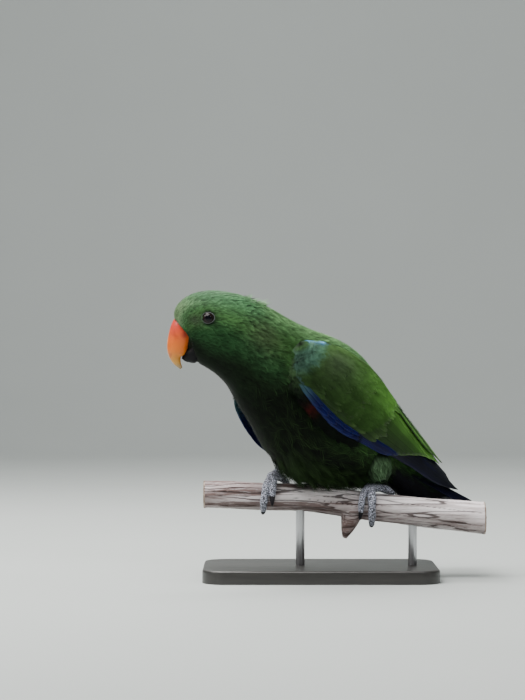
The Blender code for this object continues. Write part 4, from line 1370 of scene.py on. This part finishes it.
def darkHorn(name, colour, roughness):
    colours = colour, [c * 1.9 for c in colour]
    finish = {"roughness": (roughness, 0.15), "bump": (0.2, 0.0003), "Coat_Weight": 0.03}
    return grainedMaterial(name, colours, (2, 1, 1), (350, 4), Specular_IOR_Level=0.15, **finish)


def makeBill():
    lowerFinish = darkHorn("lower_bill", (0.003, 0.003, 0.0035), 0.5)
    for label, keys, rows, columns, finish, slot in (
        ("Upper", upperKeys, 64, 48, billMaterial(), "orange_bill"),
        ("Lower", lowerKeys, 40, 40, lowerFinish, "black_bill"),
    ):
        bm = bmesh.new()
        wrapSurface(bm, billSurface(keys), 0, len(keys) - 1, rows, columns)
        fromBmesh(bm, "bill" + label, finish, slot, ("bill_" + label.lower(),))


makeBill()


# Eyes and lids
eyeSet = {"out": 20.2, "sink": 4, "radius": 6.2}
lidSet = {"sink": 0.35, "oval": 0.90, "corner": 0.45, "half": 0.45, "high": 0.5, "beads": 17, "bead": 0.10}


def eyeCentre(side):
    return np.array((eyeAt[0], billY + 1 - side * (eyeSet["out"] - eyeSet["sink"]), eyeAt[1]))


def eyeMaterial(side, label):
    gloss = {"Coat_Weight": 0.2, "Coat_Roughness": 0.02, "Roughness": 0.08, "Specular_IOR_Level": 0.1}
    net = Net("eye_" + label.lower(), **gloss)
    place = net.place()
    centre = eyeCentre(side) * 0.001
    dx, dz = net.axis(place, 0) - centre[0], net.axis(place, 2) - centre[2]
    far = (dx * dx + dz * dz) ** 0.5
    iris = net.mix(net.grain(place, 1500), (0.008, 0.005, 0.005), (0.016, 0.009, 0.008))
    colour = net.mix(far.step(0.0026, 0.0031), (0.003, 0.003, 0.005), iris)
    net.set("Base Color", net.mix(far.step(0.0046, 0.0054), colour, (0.006, 0.006, 0.009)))
    return net.material


def makeEye(side, label):
    bm = bmesh.new()
    bmesh.ops.create_uvsphere(bm, u_segments=48, v_segments=32, radius=eyeSet["radius"])
    matrix = Matrix.Translation(eyeCentre(side)) @ Matrix.Rotation(math.pi / 2, 4, "X")
    bmesh.ops.transform(bm, matrix=matrix, verts=bm.verts)
    fromBmesh(bm, "eye" + label, eyeMaterial(side, label), "eye", ("eye_" + label.lower(),))


def lidMaterial():
    net = Net("lid", Specular_IOR_Level=0.35)
    grain = net.grain(net.place(), 900, 3)
    net.set("Base Color", net.mix(grain, (0.026, 0.033, 0.030), (0.088, 0.104, 0.094)))
    net.set("Roughness", 0.6)
    net.bump(net.cells(net.place(), 1100), 0.5, 0.0003)
    return net.material


def makeLids():
    bm = bmesh.new()
    k = lidSet
    for side, _ in sides:
        outward = unit(np.array((-0.10, -side, 0.10)))
        along = unit(np.array((1, 0, 0)) - outward * outward[0])
        other = np.cross(outward, along) * -side
        centre = eyeCentre(side) + outward * (eyeSet["sink"] - k["sink"])

        def place(u, lean):
            turn = u * 2 * math.pi
            spoke = along * np.cos(turn)[:, None] + other * (np.sin(turn) * k["oval"])[:, None]
            bead = 1 + k["bead"] * np.sin(turn * k["beads"]) * np.maximum(0, np.sin(lean))
            corner = k["corner"] * np.maximum(0, np.abs(np.cos(turn)) - 0.6) / 0.4
            reach = lidReach + corner + k["half"] * np.cos(lean)
            return centre + spoke * reach[:, None] + outward * (k["high"] * np.sin(lean) * bead)[:, None]

        wrap(bm, 64, 14, place, closed=False)
    fromBmesh(bm, "lids", lidMaterial(), "grey_skin")


for side, label in sides:
    makeEye(side, label)
makeLids()
print("bill and eyes ready")

# Perch
perchKeys = (
    (-106, 2, 75.6, 13.4),
    (-74, 0, 75.2, 13.6),
    (-43, 0, 74.4, 13.4),
    (-12, 0.5, 73, 13.6),
    (20, 0, 69, 14),
    (46, 0, 64.6, 13.8),
    (78, -0.5, 61.6, 14.2),
    (112, -1, 58.2, 15),
    (150, -2, 54.2, 15.8),
)
perchSet = {"start": -106, "end": 150, "stub": ((30, -3, 62), (22, -4, 36.5)), "voxel": 0.8}
barkSet = {"ridge": 0.7, "sink": 0.5, "crack": 0.9, "grain": 0.18}


def perchAt(x):
    t = np.interp(x, [k[0] for k in perchKeys], np.arange(len(perchKeys)))
    row = smoothKeys(perchKeys, t)
    return np.stack([np.asarray(x, float) + 0 * row[..., 0], row[..., 1], row[..., 2]], -1), row[..., 3]


# A point beside the perch, turned by degrees from its top towards the photographed side
def roundPerch(x, degrees, clear):
    centre, radius = perchAt(x)
    turn = np.radians(degrees)
    spoke = np.stack([0 * turn, -np.sin(turn), np.cos(turn)], -1)
    return centre + spoke * (radius + clear)[..., None]


def barkMaterial():
    net = Net("bark", Specular_IOR_Level=0.25)
    place = net.place()
    x, y, z = (net.axis(place, k) for k in range(3))

    def grain(along, *settings):
        return net.grain(net.stretch(place, (along, 1, 1)), *settings)

    broad, streak, fine = grain(0.3, 30, 4), grain(0.05, 230, 5, 0.6), grain(0.12, 700, 4, 0.6)
    crack = (grain(0.045, 95, 2) - 0.5).size()
    line = (1 - crack.step(0.006, 0.022)) * 0.85
    # painted shade: the perch's underside, below a slanting line, darker
    under = 1 - (z + x * 0.084 - 0.0690).step(-0.009, 0.007)
    # painted light: the bark towards the tail's end lighter, with fewer dark streaks and less painted shade
    # below
    paintedSunlight = x.step(0.03, 0.10)  # towards the tail's end
    bark = net.layers(
        net.mix((broad + paintedSunlight * 0.14).step(0.35, 0.65), (0.33, 0.235, 0.22), (0.90, 0.83, 0.84)),
        (streak.step(0.47, 0.60) * (0.88 - paintedSunlight * 0.4), (0.16, 0.098, 0.09)),
        (fine.step(0.5, 0.7) * 0.5, (0.92, 0.87, 0.89)),
        (line, (0.035, 0.022, 0.02)),
        (net.attribute("dip") * 0.85, (0.03, 0.02, 0.018)),
        (under * (0.5 - paintedSunlight * 0.2), (0.15, 0.10, 0.09)),
    )
    # growth rings on the two cut ends
    up = z - 0.0756 + x.step(-0.01, 0.01) * 0.0214
    ring = ((y * y + up * up) ** 0.5 + streak * 0.0016) * 3000
    wood = net.mix(ring.wave() * 0.5 + 0.5, (0.52, 0.42, 0.34), (0.22, 0.145, 0.105))
    wood = net.mix(fine.step(0.5, 0.8) * 0.5, wood, (0.14, 0.09, 0.07))
    net.set("Base Color", net.mix(x.step(0.1482, 0.1490) + (1 - x.step(-0.1050, -0.1042)), bark, wood))
    net.set("Roughness", 0.75 + 0.15 * streak)
    net.bump(streak * 0.6 - line + fine * 0.3, 0.9, 0.0011)
    return net.material


def makePerch():
    bm = bmesh.new()
    start, end = perchSet["start"], perchSet["end"]

    def place(u, turn):
        x = start + (end - start) * u
        centre, radius = perchAt(x)
        lump = 0.35 * np.sin(3 * turn + x * 0.05) + 0.30 * np.sin(5 * turn - x * 0.083) - 0.65
        spoke = np.stack([0 * turn, np.sin(turn), np.cos(turn)], -1)
        return centre + spoke * (radius + lump - 0.3)[:, None]

    wrap(bm, 160, 64, place)
    share = np.linspace(0, 1, 16)
    low, high = (np.array(p) for p in perchSet["stub"])
    stub = low * (1 - share[:, None]) + high * share[:, None]
    wrapTube(bm, stub, np.interp(share, (0, 0.45, 0.75, 1), (10.5, 8, 5.2, 2)), 32)
    bm = remeshed(bm, perchSet["voxel"])
    dips = []
    bm.normal_update()
    for vert in bm.verts:
        p = vert.co
        centre = perchAt(np.clip(p.x, start + 0.1, end - 0.1))[0]
        spoke = Vector((0, p.y - centre[1], p.z - centre[2])).normalized()
        ends = min(1, max(0, (p.x - start - 1) / 3), max(0, (end - 1 - p.x) / 3))
        ridge = abs(noise.noise(Vector((p.x * 0.012, spoke.y * 3.4, spoke.z * 3.4)))) ** 0.6
        split = abs(noise.noise(Vector((p.x * 0.005 + 3.1, spoke.y * 2.2, spoke.z * 2.2))))
        dip = max(0, 1 - split / 0.03) * ends
        dips.append(dip)
        rise = (barkSet["ridge"] * ridge - barkSet["sink"] - barkSet["crack"] * dip) * ends
        vert.co = p + vert.normal * (rise + barkSet["grain"] * noise.noise(p * 0.4))
    made = fromBmesh(bm, "perchBranch", barkMaterial(), "bark", ("perch",), 60)
    addValues(made.data, "dip", np.array(dips))


makePerch()

# Feet and claws; each toe's end along the perch, its sweep round it in degrees and its radius
feet = {
    "Left": {
        "x": 46.5,
        "ankle": (52, 6, 93.5),
        "toes": {
            "inner_front": (36.5, 108, 3.5),
            "outer_front": (46.5, 148, 4),
            "outer_rear": (66, -52, 3.9),
            "inner_rear": (42, -88, 3.5),
        },
    },
    "Right": {
        "x": -41.5,
        "ankle": (-34, 5, 101.5),
        "toes": {
            "inner_front": (-43.4, 88, 4.2),
            "outer_front": (-51.5, 136, 4),
            "inner_rear": (-30, -62, 3.8),
            "outer_rear": (-46, -92, 3.5),
        },
    },
}
footSet = {
    "shank": 4,
    "palmLift": 4.7,
    "ball": (7, 7.2, 4.3),
    "gap": 0.3,
    "voxel": 0.45,
    "clawSweep": 40,
    "clawTip": 0.28,
}


def toePath(foot, endX, sweep, radius, steps):
    t = np.linspace(0, 1, steps + 1)
    x = foot["x"] + (endX - foot["x"]) * (1 - (1 - t) ** 2.2)
    return roundPerch(x, sweep * t, radius * (1.08 - 0.30 * t) + footSet["gap"] * 1.5)


def scaleMaterial():
    net = Net("foot_scale", Specular_IOR_Level=0.4)
    place = net.place()
    cells = net.cells(place, 620, "DISTANCE_TO_EDGE")
    colour = net.mix(net.cells(place, 620), (0.74, 0.76, 0.90), (0.50, 0.52, 0.63))
    net.set("Base Color", net.mix(1 - cells.step(0.05, 0.2), colour, (0.06, 0.06, 0.075)))
    net.set("Roughness", 0.55)
    net.bump(cells.step(0, 0.22), 0.9, 0.0006)
    return net.material


def legOf(foot):
    # the palm on the perch and the way from it to the ankle
    palm = roundPerch(foot["x"], np.array(0), footSet["palmLift"])
    return palm, np.array(foot["ankle"]) - palm


def makeFoot(label, foot):
    bm = bmesh.new()
    t = np.linspace(0, 1, 41)
    pads = 1 + 0.07 * np.sin(6 * math.pi * t) + 0.02 * np.sin(44 * t)
    for endX, sweep, radius in foot["toes"].values():
        thick = radius * (1.05 - 0.30 * t) * pads * np.minimum(1, 0.75 + 9 * (1 - t))
        wrapTube(bm, toePath(foot, endX, sweep, radius, 40), thick, 24)
    palm, shank = legOf(foot)
    steps = np.linspace(0, 1, 20)
    wrapTube(bm, palm + shank * steps[:, None], footSet["shank"] + 0.6 * (1 - steps), 28)
    ball = bmesh.ops.create_uvsphere(bm, u_segments=24, v_segments=16, radius=1)["verts"]
    matrix = Matrix.Translation(palm + np.array((0, 0, 0.4))) @ Matrix.Diagonal((*footSet["ball"], 1))
    bmesh.ops.transform(bm, matrix=matrix, verts=ball)
    bm = remeshed(bm, footSet["voxel"])
    fromBmesh(bm, "foot" + label, scales, "grey_skin", ("foot_" + label.lower(),))


def makeClaw(label, foot, name):
    endX, sweep, radius = foot["toes"][name]
    path = toePath(foot, endX, sweep, radius, 9 if abs(sweep) > 100 else 7)
    ahead = unit(path[-1] - path[-2])
    start = path[-1] + ahead * footSet["gap"]
    tipSweep = sweep + math.copysign(footSet["clawSweep"], sweep)
    tipX = endX + (endX - foot["x"]) * 0.10
    tip = roundPerch(tipX, np.array(tipSweep), 1)
    middle = roundPerch((endX + tipX) / 2, np.array((sweep + tipSweep) / 2), radius * 0.95 + 0.9)
    t = np.linspace(0, 1, 25)[:, None]
    points = (start * (1 - t) + middle * t) * (1 - t) + (middle * (1 - t) + tip * t) * t
    points[0] = start - ahead * 1.2
    bm = bmesh.new()
    wrapTube(bm, points, radius * 0.56 * (1 - t[:, 0]) ** 0.8 + footSet["clawTip"], 20)
    node = "claw_" + label.lower() + "_" + name
    fromBmesh(bm, "claw" + label + name.title().replace("_", ""), clawFinish, "claw", (node,))


scales = scaleMaterial()
clawFinish = darkHorn("claw_horn", (0.014, 0.013, 0.016), 0.3)
for label, foot in feet.items():
    makeFoot(label, foot)
    for name in foot["toes"]:
        makeClaw(label, foot, name)
print("feet ready")


# Leg ring and stand
ringHalf = ((4.35, 1.1), (4.6, 1.38), (4.9, 1.38), (5.05, 1.1))  # outline of its wall, radius and height
ringSet = {"at": 0.72, "profile": [(r, -h) for r, h in ringHalf] + [*ringHalf[::-1]]}
standSet = {
    "base": (212, 132, 12),
    "corner": 22,
    "edge": 2,
    "rods": {"left": -18, "right": 84},  # x of each
}
rodSet = {"radius": 4, "into": 3, "chamfer": 0.4}


def metalMaterial(name, colour, roughness, stretch):
    colours = colour, [c * 0.82 for c in colour]
    finish = {"roughness": (roughness, 0.12), "bump": (0.08, 0.0002), "Metallic": 1}
    return grainedMaterial(name, colours, stretch, (700, 4), **finish)


def makeRing():
    palm, shank = legOf(feet["Right"])
    along = Vector(unit(shank))
    centre = Vector(palm + shank * ringSet["at"])
    across = along.orthogonal().normalized()
    bm = bmesh.new()
    verts = [bm.verts.new(centre + across * r + along * h) for r, h in ringSet["profile"]]
    edges = [bm.edges.new(pair) for pair in zip(verts, verts[1:] + verts[:1])]
    spin = {"cent": centre, "axis": along, "angle": 2 * math.pi, "steps": 64, "use_merge": True}
    bmesh.ops.spin(bm, geom=verts + edges, use_duplicate=False, **spin)
    finish = metalMaterial("ring", (0.82, 0.83, 0.85), 0.22, (1, 1, 4))
    fromBmesh(bm, "legRing", finish, "ring_metal", ("leg_ring",), 40)


def bevel(bm, edges, offset, segments):
    how = {"affect": "EDGES", "profile": 0.5, "material": -1}
    bmesh.ops.bevel(bm, geom=edges, offset=offset, segments=segments, **how)


def makeStand():
    wide, deep, high = standSet["base"]
    bm = bmesh.new()
    cube = bmesh.ops.create_cube(bm, size=1)["verts"]
    matrix = Matrix.Translation((0, 0, high / 2)) @ Matrix.Diagonal((wide, deep, high, 1))
    bmesh.ops.transform(bm, matrix=matrix, verts=cube)
    bevel(bm, [e for e in bm.edges if abs(e.verts[0].co.z - e.verts[1].co.z) > 1], standSet["corner"], 14)
    top = [e for e in bm.edges if all(v.co.z > high - 0.1 for v in e.verts)]
    bevel(bm, [e for e in top if len({round(f.normal.z) for f in e.link_faces}) == 2], standSet["edge"], 5)
    lacquer = grainedMaterial(
        "stand_lacquer",
        ((0.016, 0.015, 0.014), (0.045, 0.041, 0.038)),
        (0.12, 1, 1),
        (260, 5),
        (0.34, 0.2),
        (0.15, 0.0003),
        Coat_Weight=0.3,
        Coat_Roughness=0.15,
    )
    fromBmesh(bm, "standBase", lacquer, "stand", ("stand_base",), 30)
    steel = metalMaterial("rod_steel", (0.55, 0.55, 0.57), 0.24, (6, 6, 0.5))
    for label, x in standSet["rods"].items():
        centre, radius = perchAt(np.array(x))
        bm = bmesh.new()
        depth = centre[2] - radius + rodSet["into"] - high
        shape = {"radius1": rodSet["radius"], "radius2": rodSet["radius"], "segments": 48}
        rod = bmesh.ops.create_cone(bm, cap_ends=True, depth=depth, **shape)["verts"]
        bmesh.ops.transform(bm, matrix=Matrix.Translation((x, centre[1], high + depth / 2)), verts=rod)
        bevel(bm, [e for e in bm.edges if all(v.co.z < high + 0.01 for v in e.verts)], rodSet["chamfer"], 2)
        fromBmesh(bm, "standRod" + label.title(), steel, "stand_rod", ("stand_rod_" + label,), 30)


makeRing()
makeStand()
print("stand ready")


# Floor, backdrop and light
stageSet = {"front": -5, "bend": 2.6, "radius": 1, "high": 4, "wide": 9}
worldSet = {"colour": (0.80, 0.88, 0.85, 1), "strength": 0.12}
birdAt, backdropAt = (-0.03, 0, 0.16), (0, 3.4, 0.6)
lightSet = (
    ("overhead", (-0.45, -0.50, 1.5), 1.2, 42, (1, 0.99, 0.97)),
    ("behind", (-0.45, 0.65, 1.4), 0.9, 22, (1, 0.99, 0.96)),
    ("left", (-1.35, -0.45, 1.15), 0.6, 9, (1, 1, 1)),
    ("side", (1.1, -1.7, 1.35), 0.2, 7, (0.96, 0.98, 1)),
    ("backdrop", (0, 1.3, 2.6), 1.6, 45, (1, 1, 1)),
)


def makeStage():
    bm = bmesh.new()
    k = stageSet
    arc = math.pi / 2 * k["radius"]
    flat = k["bend"] - k["front"]

    def place(u, across):
        run = u * (flat + arc + k["high"])
        turn = np.clip((run - flat) / k["radius"], 0, math.pi / 2)
        y = k["front"] + np.minimum(run, flat) + k["radius"] * np.sin(turn)
        z = k["radius"] * (1 - np.cos(turn)) + np.maximum(0, run - flat - arc)
        return np.stack([(across / (2 * math.pi) - 0.5) * k["wide"], y, z], -1)

    wrap(bm, 120, 2, place, closed=False)
    mesh = meshOf(bm, "backdrop")
    backdrop = addObject("backdrop", mesh)
    net = Net("backdrop_paper", Roughness=0.9, Specular_IOR_Level=0.1)
    net.set("Base Color", net.mix(net.grain(net.place(), 3), (0.50, 0.53, 0.515), (0.54, 0.57, 0.555)))
    mesh.materials.append(net.material)
    mesh.shade_smooth()
    world = bpy.data.worlds.new("world")
    scene.world = world
    world.use_nodes = True
    background = world.node_tree.nodes["Background"].inputs
    background[0].default_value, background[1].default_value = worldSet["colour"], worldSet["strength"]
    for name, place, size, power, colour in lightSet:
        data = bpy.data.lights.new(name, "AREA")
        data.size, data.energy, data.color = size, power, colour
        lamp = addObject(name, data)
        lamp.location = place
        goal = Vector(backdropAt if name == "backdrop" else birdAt)
        lamp.rotation_euler = (goal - Vector(place)).to_track_quat("-Z", "Y").to_euler()


makeStage()
